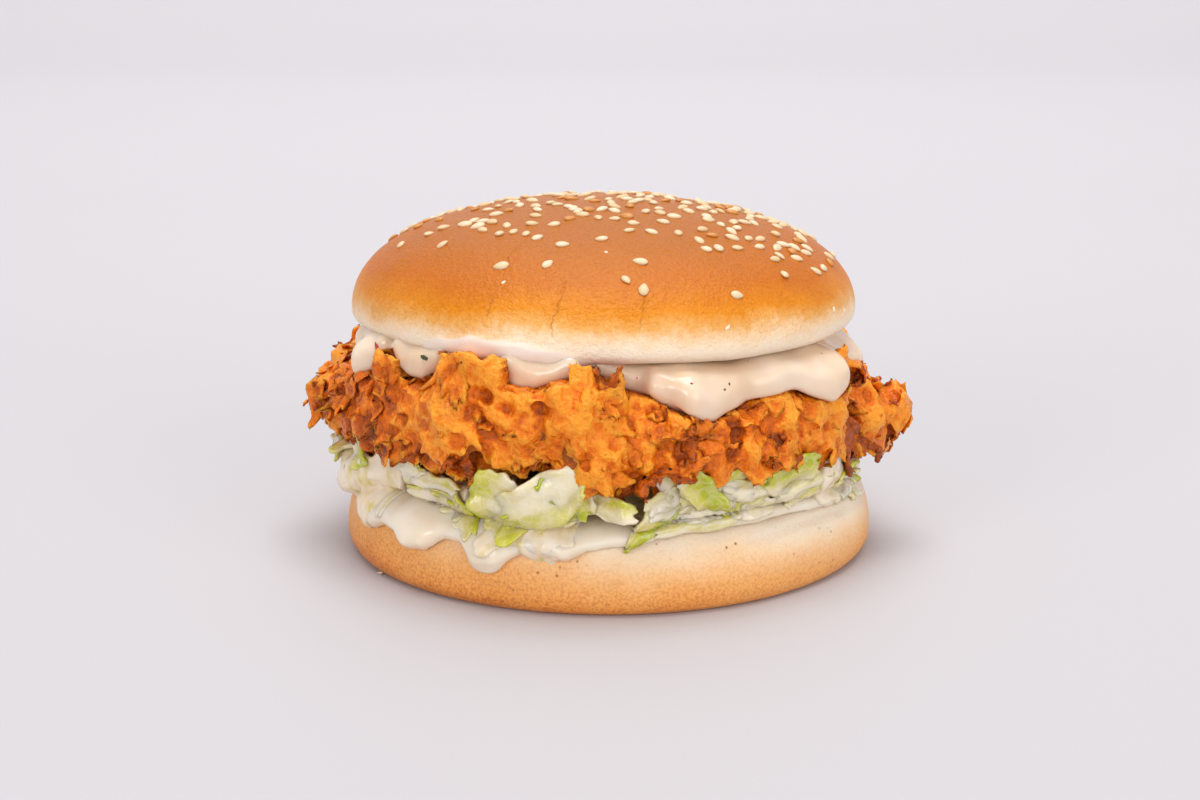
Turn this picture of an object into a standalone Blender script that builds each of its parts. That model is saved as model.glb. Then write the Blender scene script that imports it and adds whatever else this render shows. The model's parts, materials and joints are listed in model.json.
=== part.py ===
"""Fried chicken burger: a seeded bun, crispy chicken fillet, lettuce and two sauces, one solid for each layer.

Metres, +Z up. The origin lies on the table, under the middle of the whole burger; the front faces -Y.
Every layer is a round sheet or dome: a sphere primitive whose rows and columns are laid along a profile
that changes with the angle around the burger. Angles are in degrees, counted from +X, so -90 is the front.
"""

import math

import bmesh
import bpy
from mathutils import Vector, noise

# Driving sizes.
GAP = 0.00035  # clearance between two layers that touch
COLUMNS = 66  # facets round a layer
FINE_COLUMNS = 80  # facets round the fillet and the dripping sauces

HEEL_CENTRE = (0.0020, 0.0)
HEEL_RADIUS = 0.0607  # at its widest, just above the table
HEEL_FACE = 0.0170  # height of the cut face
HEEL_WIDEST = 0.0042  # height of the widest ring
HEEL_FLAT = 0.0520  # radius where the cut face starts to round over
HEEL_FOOT = 0.0575  # radius of the flat underside
HEEL_SQUARENESS = 2.3  # 2 is an ellipse, more is boxier

MAYO_DEPTH = 0.0024
MAYO_HEM = 24.0  # how far the mayonnaise laps over the heel's shoulder, as a turn from flat to upright

LEAF_DEPTH = 0.0062
LEAF_HEM = 16.0
LEAF_RUFFLE = 0.0022  # height of the ruffles
LEAF_RUFFLE_SIZE = 0.0090

FILLET_FLOOR = 0.0262  # underside of the fillet's middle
FILLET_ROOF = 0.0486  # top of the fillet's middle
FILLET_LENGTH = 0.0615  # half the fillet's base outline from side to side
FILLET_DEPTH = 0.0592  # half the fillet's base outline from front to back
FILLET_ROUNDING = 0.0125  # how far in from the edge the fillet rounds off
FILLET_SHOULDER = 0.0010  # how much the rim stands above the middle
FILLET_SQUARENESS = 2.5
FILLET_CRAGS = ((0.0150, 0.0030), (0.0070, 0.0015))  # size and height of the batter's lumps

SAUCE_DEPTH = 0.0026
SAUCE_HEM = 8.0  # least turn over the fillet's shoulder
SAUCE_BEDDING = 0.0030  # how deep the sauce reaches into the fillet before its room is cut out

CROWN_CENTRE = (0.0009, 0.0)
CROWN_RADIUS = 0.0575
CROWN_FACE = 0.0516  # height of the middle of the crown's cut face
CROWN_WIDEST = 0.0550
CROWN_HEIGHT = 0.0780  # top of the dome
CROWN_LIP = 0.0066  # how far in the lower edge rounds over
CROWN_SQUARENESS = 2.25
CROWN_LEAN = (-0.0006, 0.0010)  # the dome's top sits a little off its middle
CROWN_TILT = 0.8  # degrees, front edge up
FILM = 0.0014  # least room between the fillet and the crown's face, for the sauce
PAST_CROWN = (0.0006, 0.0035)  # how far past the crown's edge the fillet starts and ends its step up
STEP_UP = 0.0040  # how much higher the fillet may stand outside the crown's edge

# Lobes: centre angle, spread in degrees, then how much they add.
MAYO_DRIPS = (
    (-115.0, 7.0, 50.0),
    (-100.0, 7.0, 34.0),
    (-133.0, 8.0, 46.0),
    (-150.0, 9.0, 40.0),
    (-180.0, 10.0, 26.0),
    (-86.0, 7.0, 16.0),
    (-30.0, 8.0, 12.0),
    (38.0, 12.0, 22.0),
    (96.0, 14.0, 30.0),
    (141.0, 8.0, 20.0),
)
LEAF_FALLS = (
    (180.0, 9.0, 20.0),
    (-162.0, 9.0, 34.0),
    (-120.0, 5.0, 10.0),
    (-106.0, 8.0, 16.0),
    (-85.0, 4.0, 24.0),
    (-38.0, 8.0, 6.0),
    (12.0, 8.0, 12.0),
    (62.0, 9.0, 24.0),
    (118.0, 9.0, 28.0),
    (152.0, 7.0, 18.0),
)
FILLET_REACH = (
    (180.0, 10.0, 0.0048),
    (-120.0, 6.0, 0.0030),
    (-106.0, 6.0, 0.0030),
    (-91.0, 8.0, 0.0045),
    (-74.0, 5.0, 0.0030),
    (-54.0, 7.0, 0.0030),
    (-32.0, 6.0, 0.0015),
    (-6.0, 10.0, 0.0088),
    (30.0, 9.0, 0.0020),
    (72.0, 12.0, 0.0030),
    (112.0, 12.0, 0.0025),
    (150.0, 9.0, 0.0015),
)
FILLET_DROPS = (
    (-122.0, 7.0, -0.0018),
    (-105.0, 7.0, 0.0045),
    (-88.0, 9.0, -0.0018),
    (-54.0, 6.0, -0.0015),
    (-8.0, 26.0, -0.0064),
    (180.0, 16.0, -0.0020),
    (80.0, 18.0, -0.0020),
    (130.0, 14.0, 0.0025),
)
FILLET_RISES = (
    (-122.0, 10.0, 0.0035),
    (-94.0, 7.0, 0.0050),
    (-58.0, 26.0, -0.0035),
    (-8.0, 20.0, -0.0080),
    (180.0, 22.0, -0.0050),
    (90.0, 40.0, 0.0010),
)
FILLET_TAPERS = (
    (178.0, 20.0, -1.0),
    (-8.0, 16.0, -0.4),
)
SAUCE_DRIPS = (
    (-153.0, 7.0, 46.0),
    (-132.0, 6.0, 40.0),
    (-105.0, 8.0, 24.0),
    (-68.0, 9.0, 58.0),
    (-51.0, 7.0, 20.0),
    (-36.0, 10.0, 58.0),
    (22.0, 12.0, 34.0),
    (60.0, 9.0, 20.0),
    (88.0, 10.0, 44.0),
    (132.0, 12.0, 38.0),
)


def lobes(table, angle):
    """What the lobes of a table add at this angle."""
    total = 0.0
    for centre, spread, size in table:
        away = (angle - centre + 180.0) % 360.0 - 180.0
        total += size * math.exp(-((away / spread) ** 2))
    return total


def eased(value, low, high):
    """0 below low, 1 above high, and smooth between."""
    share = min(1.0, max(0.0, (value - low) / (high - low)))
    return share * share * (3.0 - 2.0 * share)


def rounded(turn, squareness):
    """Cosine and sine of a turn on a superellipse, each with its sign."""
    cosine, sine = math.cos(math.radians(turn)), math.sin(math.radians(turn))
    power = 2.0 / squareness
    return (
        math.copysign(abs(cosine) ** power, cosine),
        math.copysign(abs(sine) ** power, sine),
    )


def crown_face(depth):
    """Height of the crown's cut face this far back: the crown leans back a little."""
    return CROWN_FACE - (depth - CROWN_CENTRE[1]) * math.tan(math.radians(CROWN_TILT))


def lip_rise(radius):
    """How far the rounded lower edge of the crown stands above its cut face at this radius."""
    share = min(1.0, max(0.0, (radius - CROWN_RADIUS) / CROWN_LIP + 1.0))
    return (CROWN_WIDEST - CROWN_FACE) * (1.0 - math.sqrt(1.0 - share * share))


def on_axis(angle, radius, height, centre=(0.0, 0.0)):
    """The point at this radius and height, seen from the layer's own upright axis."""
    turn = math.radians(angle)
    return Vector((centre[0] + radius * math.cos(turn), centre[1] + radius * math.sin(turn), height))


def layer(name, columns, profile, material):
    """A sphere primitive whose rows, from the bottom pole to the top one, follow profile(angle)."""
    rows = len(profile(0.0))
    mesh = bmesh.new()
    bmesh.ops.create_uvsphere(mesh, u_segments=columns, v_segments=rows - 1, radius=1.0)
    step = 360.0 / columns
    profiles = [profile(column * step) for column in range(columns)]
    for vertex in mesh.verts:
        place = vertex.co.copy()
        row = round((1.0 - math.acos(max(-1.0, min(1.0, place.z))) / math.pi) * (rows - 1))
        column = round(math.degrees(math.atan2(place.y, place.x)) / step) % columns
        if row in (0, rows - 1):
            column = 0
        vertex.co = profiles[column][row]
    bmesh.ops.triangulate(mesh, faces=mesh.faces)
    bmesh.ops.recalc_face_normals(mesh, faces=mesh.faces)
    data = bpy.data.meshes.new(name)
    mesh.to_mesh(data)
    mesh.free()
    data.shade_smooth()
    solid = bpy.data.objects.new(name, data)
    bpy.context.scene.collection.objects.link(solid)
    if material is None:
        solid.hide_render = True
        solid.display_type = "WIRE"
    else:
        data.materials.append(material)
    return solid


def cut_away(solid, cutter):
    """Takes the cutter's room out of the solid."""
    cut = solid.modifiers.new("room_for_" + cutter.name, "BOOLEAN")
    cut.operation = "DIFFERENCE"
    cut.solver = "EXACT"
    cut.object = cutter


def finish(name, colour, roughness):
    """A plain food finish."""
    material = bpy.data.materials.new(name)
    material.use_nodes = True
    shader = material.node_tree.nodes["Principled BSDF"]
    shader.inputs["Base Color"].default_value = (*colour, 1.0)
    shader.inputs["Roughness"].default_value = roughness
    shader.inputs["Metallic"].default_value = 0.0
    return material


# The heel: the bun's lower half, baked flat underneath and cut flat on top.


def heel_wall(turn):
    """Radius and height on the heel's side: turn 0 is the edge of the cut face and 90 the widest ring."""
    upright, outward = rounded(turn, HEEL_SQUARENESS)
    return (
        HEEL_FLAT + (HEEL_RADIUS - HEEL_FLAT) * outward,
        HEEL_WIDEST + (HEEL_FACE - HEEL_WIDEST) * upright,
    )


def heel_profile(angle):
    foot = [(0.0, 0.0), (HEEL_FOOT, 0.0)]
    foot_radius, foot_height = HEEL_RADIUS - HEEL_FOOT, HEEL_WIDEST
    corner = [
        (
            HEEL_FOOT + foot_radius * math.sin(math.radians(turn)),
            foot_height * (1.0 - math.cos(math.radians(turn))),
        )
        for turn in (35.0, 62.0)
    ]
    wall = [heel_wall(turn) for turn in (90.0, 72.0, 54.0, 36.0, 18.0, 0.0)]
    outline = foot + corner + wall + [(0.0, HEEL_FACE)]
    return [on_axis(angle, radius, height, HEEL_CENTRE) for radius, height in outline]


def over_heel(angle, turn, rise):
    """A point this far out from the heel's surface, where turn goes on over its shoulder."""
    ahead, behind = heel_wall(min(turn + 1.0, 90.0)), heel_wall(max(turn - 1.0, 0.0))
    along = Vector((ahead[0] - behind[0], ahead[1] - behind[1])).normalized()
    radius, height = heel_wall(turn)
    return on_axis(angle, radius - along.y * rise, height + along.x * rise, HEEL_CENTRE)


# The mayonnaise: spread on the heel's cut face, running over its edge in drips.

MAYO_ROWS = (0.25, 0.5, 0.75, 0.92, 1.0)


def mayo_hem(angle):
    return min(84.0, MAYO_HEM + lobes(MAYO_DRIPS, angle))


def mayo_depth(angle, share):
    """Depth of the mayonnaise at this share of its way to the hem: drips swell before they end."""
    drip = eased(mayo_hem(angle), 30.0, 70.0)
    swell = 1.0 + 0.55 * drip * eased(share, 0.3, 0.85)
    hem = 1.0 - 0.75 * eased(share, 0.90, 1.0)
    return MAYO_DEPTH * swell * hem


def mayo_profile(angle):
    hem = mayo_hem(angle)
    under = [on_axis(angle, 0.0, HEEL_FACE + GAP, HEEL_CENTRE)]
    under += [over_heel(angle, hem * share, GAP) for share in (0.02, *MAYO_ROWS)]
    above = [over_heel(angle, hem * share, GAP + mayo_depth(angle, share)) for share in reversed(MAYO_ROWS[:-1])]
    above.append(over_heel(angle, hem * 0.02, GAP + MAYO_DEPTH))
    above.append(on_axis(angle, 0.0, HEEL_FACE + GAP + MAYO_DEPTH, HEEL_CENTRE))
    return under + above


# The lettuce: a bed of shreds on the mayonnaise, with ruffled falls at its edge.

LEAF_ROWS = (0.35, 0.7, 1.0)
LEAF_CLEARANCE = 0.75  # extra room over the swollen drips, as a share of the mayonnaise's depth


def leaf_profile(angle):
    hem = min(80.0, LEAF_HEM + lobes(LEAF_FALLS, angle))
    base = HEEL_FACE + 2.0 * GAP + MAYO_DEPTH
    over_mayo = [
        2.0 * GAP + MAYO_DEPTH * (1.0 + LEAF_CLEARANCE * eased(hem * share, 0.0, 25.0)) for share in LEAF_ROWS
    ]
    under = [on_axis(angle, radius, base, HEEL_CENTRE) for radius in (0.0, 0.8 * HEEL_FLAT)]
    under += [over_heel(angle, hem * share, rise) for share, rise in zip(LEAF_ROWS, over_mayo)]
    above = []
    for share, rise in reversed(list(zip(LEAF_ROWS, over_mayo))):
        place = on_axis(angle, HEEL_RADIUS, share * LEAF_RUFFLE_SIZE)
        ruffle = LEAF_RUFFLE * noise.noise(place / LEAF_RUFFLE_SIZE)
        thinning = 1.0 - 0.62 * share * eased(hem, 20.0, 60.0)
        thickness = LEAF_DEPTH * thinning * (0.55 if share == 1.0 else 1.0)
        above.append(over_heel(angle, hem * share, rise + thickness + ruffle))
    above += [on_axis(angle, radius, FILLET_FLOOR - GAP, HEEL_CENTRE) for radius in (0.8 * HEEL_FLAT, 0.0)]
    return under + above


# The fillet: a battered chicken breast wider than the bun, with a craggy, lobed edge.

FILLET_TURNS = (-84.0, -62.0, -42.0, -24.0, -8.0, 8.0, 24.0, 42.0, 62.0, 84.0)


def fillet_reach(angle):
    """Radius of the fillet's edge."""
    turn = math.radians(angle)
    round_form = 1.0 / math.hypot(math.cos(turn) / FILLET_LENGTH, math.sin(turn) / FILLET_DEPTH)
    return round_form + lobes(FILLET_REACH, angle)


def crags(place, reach):
    """Height of the batter's lumps at a place, none in the middle that the bun hides."""
    height = sum(rise * noise.noise(place / size) for size, rise in FILLET_CRAGS)
    return height * eased(place.xy.length, 0.70 * reach, 0.88 * reach)


def under_crown(place, rise):
    """Keeps a point of the fillet below the crown and its film of sauce, as far out as the crown reaches."""
    past = (place.xy - Vector(CROWN_CENTRE)).length - CROWN_RADIUS
    place.z = min(place.z, crown_face(place.y) - FILM + STEP_UP * eased(past, *PAST_CROWN) + rise)
    return place


def fillet_rim(angle, turn, rise):
    """A point on the fillet's rounded edge, or this far out from it: turn -90 is underneath, 90 on top."""
    reach = fillet_reach(angle)
    low = FILLET_FLOOR + lobes(FILLET_DROPS, angle)
    high = FILLET_ROOF + FILLET_SHOULDER + lobes(FILLET_RISES, angle)
    outward, upward = rounded(turn, FILLET_SQUARENESS + lobes(FILLET_TAPERS, angle))
    radius = reach - FILLET_ROUNDING * (1.0 - outward)
    height = (low + high) / 2.0 + (high - low) / 2.0 * upward
    place = on_axis(angle, radius, height)
    facing = on_axis(angle, math.cos(math.radians(turn)), math.sin(math.radians(turn)))
    return place + facing * (crags(place, reach) + rise)


def fillet_profile(angle, rise=0.0):
    middle = 0.70 * FILLET_DEPTH
    rim = [under_crown(fillet_rim(angle, turn, rise), rise) for turn in FILLET_TURNS]
    below = [on_axis(angle, radius, FILLET_FLOOR - rise) for radius in (0.0, middle)]
    above = [on_axis(angle, radius, FILLET_ROOF + rise) for radius in (middle, 0.0)]
    return below + rim + above


# The spicy sauce: under the crown, over the fillet's shoulder in wide drips.

SAUCE_ROWS = (1.0, 0.9, 0.7, 0.45, 0.2)
LIP_SHARE = 0.55  # how much of the room under the crown's rounded edge the sauce fills


def sauce_profile(angle):
    hem = SAUCE_HEM + lobes(SAUCE_DRIPS, angle)
    under = [on_axis(angle, radius, FILLET_ROOF + GAP) for radius in (0.0, 0.65 * FILLET_DEPTH)]
    under += [fillet_rim(angle, 90.0 - hem * share, -SAUCE_BEDDING) for share in reversed(SAUCE_ROWS)]
    above = []
    for share in SAUCE_ROWS:
        depth = SAUCE_DEPTH * (1.0 - 0.6 * eased(share, 0.85, 1.0)) * (0.85 + 0.35 * eased(hem, 20.0, 50.0))
        place = fillet_rim(angle, 90.0 - hem * share, depth)
        out = (place.xy - Vector(CROWN_CENTRE)).length
        place.z = min(place.z, crown_face(place.y) - GAP + LIP_SHARE * lip_rise(out))
        above.append(place)
    for radius in (0.75 * FILLET_DEPTH, 0.0):
        place = on_axis(angle, radius, 0.0)
        place.z = crown_face(place.y) - GAP
        above.append(place)
    return under + above


# The crown: the bun's domed upper half, cut flat underneath.


def crown_profile(angle):
    lip_height = CROWN_WIDEST - CROWN_FACE
    outline = [(0.0, CROWN_FACE), (CROWN_RADIUS - CROWN_LIP, CROWN_FACE)]
    for turn in (-60.0, -30.0, 0.0):
        cosine, sine = math.cos(math.radians(turn)), math.sin(math.radians(turn))
        outline.append((CROWN_RADIUS - CROWN_LIP * (1.0 - cosine), CROWN_WIDEST + lip_height * sine))
    for turn in (16.0, 31.0, 45.0, 58.0, 69.0, 79.0, 90.0):
        outward, upward = rounded(turn, CROWN_SQUARENESS)
        outline.append((CROWN_RADIUS * outward, CROWN_WIDEST + (CROWN_HEIGHT - CROWN_WIDEST) * upward))
    points = []
    for radius, height in outline:
        lean = Vector(CROWN_LEAN) * eased(height, CROWN_WIDEST, CROWN_HEIGHT)
        centre = Vector(CROWN_CENTRE) + lean
        points.append(on_axis(angle, radius, height, centre))
    return points


def tilted(solid, degrees, pivot):
    """Tips a finished solid about the line along X through the pivot."""
    turn = math.radians(degrees)
    for vertex in solid.data.vertices:
        away = vertex.co - pivot
        vertex.co = pivot + Vector(
            (
                away.x,
                away.y * math.cos(turn) - away.z * math.sin(turn),
                away.y * math.sin(turn) + away.z * math.cos(turn),
            )
        )


def centre_over_origin(solids):
    """Parents every layer to one empty, which brings the middle of the burger's outline over the origin."""
    bpy.context.view_layer.update()
    graph = bpy.context.evaluated_depsgraph_get()
    corners = [
        Vector(corner) for solid in solids for corner in solid.evaluated_get(graph).bound_box
    ]
    burger = bpy.data.objects.new("burger", None)
    bpy.context.scene.collection.objects.link(burger)
    for axis in (0, 1):
        values = [corner[axis] for corner in corners]
        burger.location[axis] = -(min(values) + max(values)) / 2.0
    for solid in solids:
        solid.parent = burger


for old in list(bpy.data.objects):
    bpy.data.objects.remove(old)

heel = layer("bun_heel", COLUMNS, heel_profile, finish("baked_bread", (0.72, 0.40, 0.17), 0.75))
mayo = layer("mayonnaise", FINE_COLUMNS, mayo_profile, finish("mayonnaise", (0.88, 0.80, 0.62), 0.30))
fillet = layer(
    "chicken_fillet", FINE_COLUMNS, fillet_profile, finish("fried_batter", (0.68, 0.30, 0.06), 0.55)
)
fillet_room = layer("fillet_room", FINE_COLUMNS, lambda angle: fillet_profile(angle, 1.5 * GAP), None)
lettuce = layer("lettuce", COLUMNS, leaf_profile, finish("iceberg_lettuce", (0.66, 0.74, 0.38), 0.40))
sauce = layer("spicy_sauce", FINE_COLUMNS, sauce_profile, finish("spicy_mayonnaise", (0.90, 0.70, 0.55), 0.28))
crown = layer("bun_crown", COLUMNS, crown_profile, finish("golden_crust", (0.66, 0.30, 0.09), 0.60))
tilted(crown, -CROWN_TILT, Vector((*CROWN_CENTRE, CROWN_FACE)))
cut_away(lettuce, fillet_room)
cut_away(sauce, fillet_room)
centre_over_origin([heel, mayo, lettuce, fillet, sauce, crown])
fillet_room.parent = heel.parent
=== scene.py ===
"""Chicken burger in a seeded bun: the real surface of every layer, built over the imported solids.

Metres, +Z up, front towards -Y. Angles are in degrees, counted from +X, so -90 is the front.
The pieces follow the burger as it is stacked: heel, mayonnaise, lettuce, spicy sauce with the chicken
that is pressed up under it, crown, seeds and flecks. The table, the lights and the camera come last.
"""

import json
import math
import random

import bpy
import numpy as np
from mathutils import Matrix, Vector, noise
from mathutils.bvhtree import BVHTree
from mathutils.kdtree import KDTree

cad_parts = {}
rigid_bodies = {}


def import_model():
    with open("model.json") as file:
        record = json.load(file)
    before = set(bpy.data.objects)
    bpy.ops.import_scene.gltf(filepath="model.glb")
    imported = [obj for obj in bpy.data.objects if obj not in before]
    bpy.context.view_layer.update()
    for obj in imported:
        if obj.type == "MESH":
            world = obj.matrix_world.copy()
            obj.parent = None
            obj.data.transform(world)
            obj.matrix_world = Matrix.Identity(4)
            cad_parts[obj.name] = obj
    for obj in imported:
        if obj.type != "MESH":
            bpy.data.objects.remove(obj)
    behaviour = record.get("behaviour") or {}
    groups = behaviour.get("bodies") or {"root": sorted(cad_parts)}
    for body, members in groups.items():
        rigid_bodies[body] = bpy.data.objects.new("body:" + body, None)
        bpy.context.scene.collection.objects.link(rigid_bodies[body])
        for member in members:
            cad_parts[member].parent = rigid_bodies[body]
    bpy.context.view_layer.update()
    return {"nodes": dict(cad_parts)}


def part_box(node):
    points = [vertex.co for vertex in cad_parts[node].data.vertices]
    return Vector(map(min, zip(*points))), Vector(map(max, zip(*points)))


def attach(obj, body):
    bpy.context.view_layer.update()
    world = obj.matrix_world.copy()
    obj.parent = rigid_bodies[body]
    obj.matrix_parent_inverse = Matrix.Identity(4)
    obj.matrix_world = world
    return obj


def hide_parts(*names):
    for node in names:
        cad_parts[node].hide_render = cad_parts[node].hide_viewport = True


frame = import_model()
bpy.ops.object.select_all(action="DESELECT")

# ---------------------------------------------------------------------------------------------------
# Heel: the bun's lower half. Soft white roll, baked on a flat tray, so its foot is level and browned
# while the side stays pale towards the cut. It is turned ring by ring and then made a little uneven.

# How square the side's outline is, the height of its widest ring, the radii of the cut face and the foot,
# and the height below which the heel stays level.
HEEL_SQUARENESS = 2.3
HEEL_WIDEST = 0.0042
HEEL_FLAT = 0.0520
HEEL_FOOT = 0.0575
HEEL_LEVEL = 0.0040
BUN_SEGMENTS = 256
# The crease round the right shoulder: where its middle is, how far it spreads, its height and depth.
CREASE = (-42.0, 22.0, 0.0136, 0.0009)


def held(value):
    """A value held between 0 and 1."""
    return min(1.0, max(0.0, value))


def angle_of(spot):
    """The angle at which a spot lies round the burger's middle."""
    return math.degrees(math.atan2(spot.y, spot.x))


def middle_of(node):
    """The middle of a node, on the table."""
    low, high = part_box(node)
    return Vector(((low.x + high.x) / 2, (low.y + high.y) / 2, 0.0))


def rounded(turn, squareness):
    """Cosine and sine of a turn on a superellipse, for turns from 0 to 90."""
    power = 2.0 / squareness
    return (
        max(0.0, math.cos(math.radians(turn))) ** power, max(0.0, math.sin(math.radians(turn))) ** power
    )


def turned(name, centre, outline):
    """A turned solid: a disc at the outline's first radius and height, extruded ring by ring to the last."""
    radius, height = outline[0]
    bpy.ops.mesh.primitive_circle_add(
        vertices=BUN_SEGMENTS, radius=radius, fill_type="TRIFAN", location=(centre.x, centre.y, height)
    )
    piece = bpy.context.active_object
    piece.name = name
    bpy.ops.object.transform_apply()
    bpy.ops.object.mode_set(mode="EDIT")
    bpy.ops.mesh.select_all(action="SELECT")
    for next_radius, next_height in outline[1:]:
        bpy.ops.mesh.extrude_region_move(TRANSFORM_OT_translate={"value": (0.0, 0.0, next_height - height)})
        size = next_radius / radius
        middle = (centre.x, centre.y, next_height)
        bpy.ops.transform.resize(value=(size, size, 1.0), center_override=middle)
        radius, height = next_radius, next_height
    bpy.ops.mesh.merge(type="CENTER")
    bpy.ops.mesh.select_all(action="SELECT")
    bpy.ops.mesh.normals_make_consistent(inside=False)
    bpy.ops.object.mode_set(mode="OBJECT")
    piece.data.shade_smooth()
    return piece


def apply_modifier(piece, kind, **settings):
    """Gives the piece a modifier with these settings and applies it."""
    modifier = piece.modifiers.new(kind.title(), kind)
    for name, value in settings.items():
        setattr(modifier, name, value)
    bpy.context.view_layer.objects.active = piece
    bpy.ops.object.modifier_apply(modifier=modifier.name)


def lumps(size, kind="CLOUDS"):
    """A Displace texture with lumps of about this size."""
    texture = bpy.data.textures.new(f"{kind.lower()}_{size * 1000:.2f}_mm", kind)
    texture.noise_scale = size
    if kind == "CLOUDS":
        texture.noise_depth = 1
    return texture


def shown_as(piece, material, node=None):
    """Finishes a piece: its material, its body and the CAD node that it stands for."""
    piece.data.materials.clear()
    piece.data.materials.append(material)
    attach(piece, "root")
    if node:
        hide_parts(node)


def linear(colour):
    """An sRGB hex colour as linear values."""
    values = [int(colour[i : i + 2], 16) / 255 for i in (0, 2, 4)]
    return tuple(((v + 0.055) / 1.055) ** 2.4 if v > 0.04045 else v / 12.92 for v in values) + (1.0,)


def new_finish(name, **shader):
    """A material with its shader's own values: 'Subsurface_Weight' sets the socket 'Subsurface Weight'."""
    material = bpy.data.materials.new(name)
    material.use_nodes = True
    sockets = material.node_tree.nodes["Principled BSDF"].inputs
    for socket, value in shader.items():
        sockets[socket.replace("_", " ")].default_value = value
    return material


def add_node(material, kind, inputs=None, stops=None, out=0, **settings):
    """Adds a node with its settings and gives its output of this name. Each input is a value or another
    node's output, and stops are a ramp's."""
    tree = material.node_tree
    node = tree.nodes.new("ShaderNode" + kind)
    for name, value in settings.items():
        setattr(node, name, value)
    for name, value in (inputs or {}).items():
        if isinstance(value, bpy.types.NodeSocket):
            tree.links.new(value, node.inputs[name])
        else:
            node.inputs[name].default_value = value
    if stops:
        elements = node.color_ramp.elements
        while len(elements) < len(stops):
            elements.new(0.5)
        for element, (place, colour) in zip(elements, stops):
            element.position = place
            element.color = linear(colour)
    return node.outputs[out]


def wire(material, **links):
    """Links outputs to the shader's sockets: 'Base_Color' is the socket 'Base Color'."""
    shader = material.node_tree.nodes["Principled BSDF"]
    for socket, output in links.items():
        material.node_tree.links.new(output, shader.inputs[socket.replace("_", " ")])


def heel_outline(face):
    """Radius and height from the middle of the underside, round the side, to the middle of the cut face."""
    low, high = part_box("bun_heel")
    widest = (high.x - low.x) / 2
    under = [(0.0015, 0.0), (0.012, 0.0), (0.028, 0.0), (0.042, 0.0), (0.051, 0.0), (HEEL_FOOT, 0.0)]
    corner = []
    for turn in range(12, 90, 12):
        out, up = math.sin(math.radians(turn)), 1.0 - math.cos(math.radians(turn))
        corner.append((HEEL_FOOT + (widest - HEEL_FOOT) * out, HEEL_WIDEST * up))
    wall = []
    for turn in range(90, -1, -3):
        up, out = rounded(turn, HEEL_SQUARENESS)
        wall.append((HEEL_FLAT + (widest - HEEL_FLAT) * out, HEEL_WIDEST + (face - HEEL_WIDEST) * up))
    cut = [(HEEL_FLAT * share, face) for share in (0.975, 0.95, 0.92, 0.88, 0.8, 0.65, 0.45, 0.25, 0.03)]
    return under + corner + wall + cut


heel_centre = middle_of("bun_heel")
heel_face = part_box("bun_heel")[1].z
heel = turned("heel", heel_centre, heel_outline(heel_face))

# The underside stays level, so the lumps fade in above it.
above_foot = heel.vertex_groups.new(name="above_foot")
for vertex in heel.data.vertices:
    above_foot.add([vertex.index], held(vertex.co.z / HEEL_LEVEL), "REPLACE")
for size, height in ((0.030, 0.0011), (0.009, 0.00035), (0.0035, 0.00012)):
    apply_modifier(
        heel, "DISPLACE", texture=lumps(size), strength=height, mid_level=0.5, vertex_group="above_foot"
    )

# The crease is where the top skin of the roll was pressed down.
crease_angle, crease_spread, crease_height, crease_depth = CREASE
for vertex in heel.data.vertices:
    away = vertex.co - heel_centre
    angle = angle_of(away)
    along = math.exp(-(((angle - crease_angle) / crease_spread) ** 2))
    across = (vertex.co.z - crease_height - 0.0006 * math.sin(angle * 0.11)) / 0.0008
    outwards = Vector((away.x, away.y, 0.0)).normalized()
    vertex.co -= crease_depth * along * math.exp(-(across**2)) * outwards


def stirred_in(finish, place, value, scale, detail, share):
    """A noise of this scale, and the value with this share of the noise added."""
    pattern = add_node(finish, "TexNoise", {"Vector": place, "Scale": scale, "Detail": detail})
    return pattern, add_node(finish, "Math", {0: pattern, 1: share, 2: value}, operation="MULTIPLY_ADD")


# White roll crust, baked without glaze: matt, pale gold, with a fine grain of tiny blisters.
heel_crust = new_finish(
    "soft_roll_crust", Roughness=0.62, Specular_IOR_Level=0.35, Subsurface_Weight=0.15,
    Subsurface_Radius=(1.0, 0.45, 0.2), Subsurface_Scale=0.0025, Sheen_Weight=0.08
)
place = add_node(heel_crust, "TexCoord", out="Object")
height = add_node(heel_crust, "SeparateXYZ", {"Vector": place}, out="Z")
_, shifted = stirred_in(heel_crust, place, height, 60.0, 3.0, 0.0080)
# The colour grows paler towards the right side than the left.
across = add_node(heel_crust, "SeparateXYZ", {"Vector": place}, out="X")
shifted = add_node(heel_crust, "Math", {0: across, 1: 0.05, 2: shifted}, operation="MULTIPLY_ADD")
share = add_node(heel_crust, "MapRange", {"Value": shifted, "From Min": 0.0040, "From Max": 0.0210})
baked = add_node(
    heel_crust, "ValToRGB", {"Fac": share},
    [
        (0.0, "e08e38"), (0.10, "efa24c"), (0.40, "f2b268"), (0.62, "f3c28a"), (0.80, "f4d6b0"),
        (0.92, "f2dfc6"), (1.0, "f0e1cc")
    ]
)
# Blisters are about 0.6 mm across and a shade lighter or darker than the skin.
grain = add_node(heel_crust, "TexNoise", {"Vector": place, "Scale": 1700.0, "Detail": 3.0})
freckle = add_node(
    heel_crust, "ValToRGB", {"Fac": grain}, [(0.34, "bc6e32"), (0.52, "f4dcc2"), (0.66, "ffffff")]
)
bold = add_node(heel_crust, "MapRange", {"Value": share, "From Max": 0.80, "To Min": 0.62, "To Max": 0.10})
speckled = add_node(
    heel_crust, "MixRGB", {"Fac": bold, "Color1": baked, "Color2": freckle}, blend_type="MULTIPLY"
)
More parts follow.
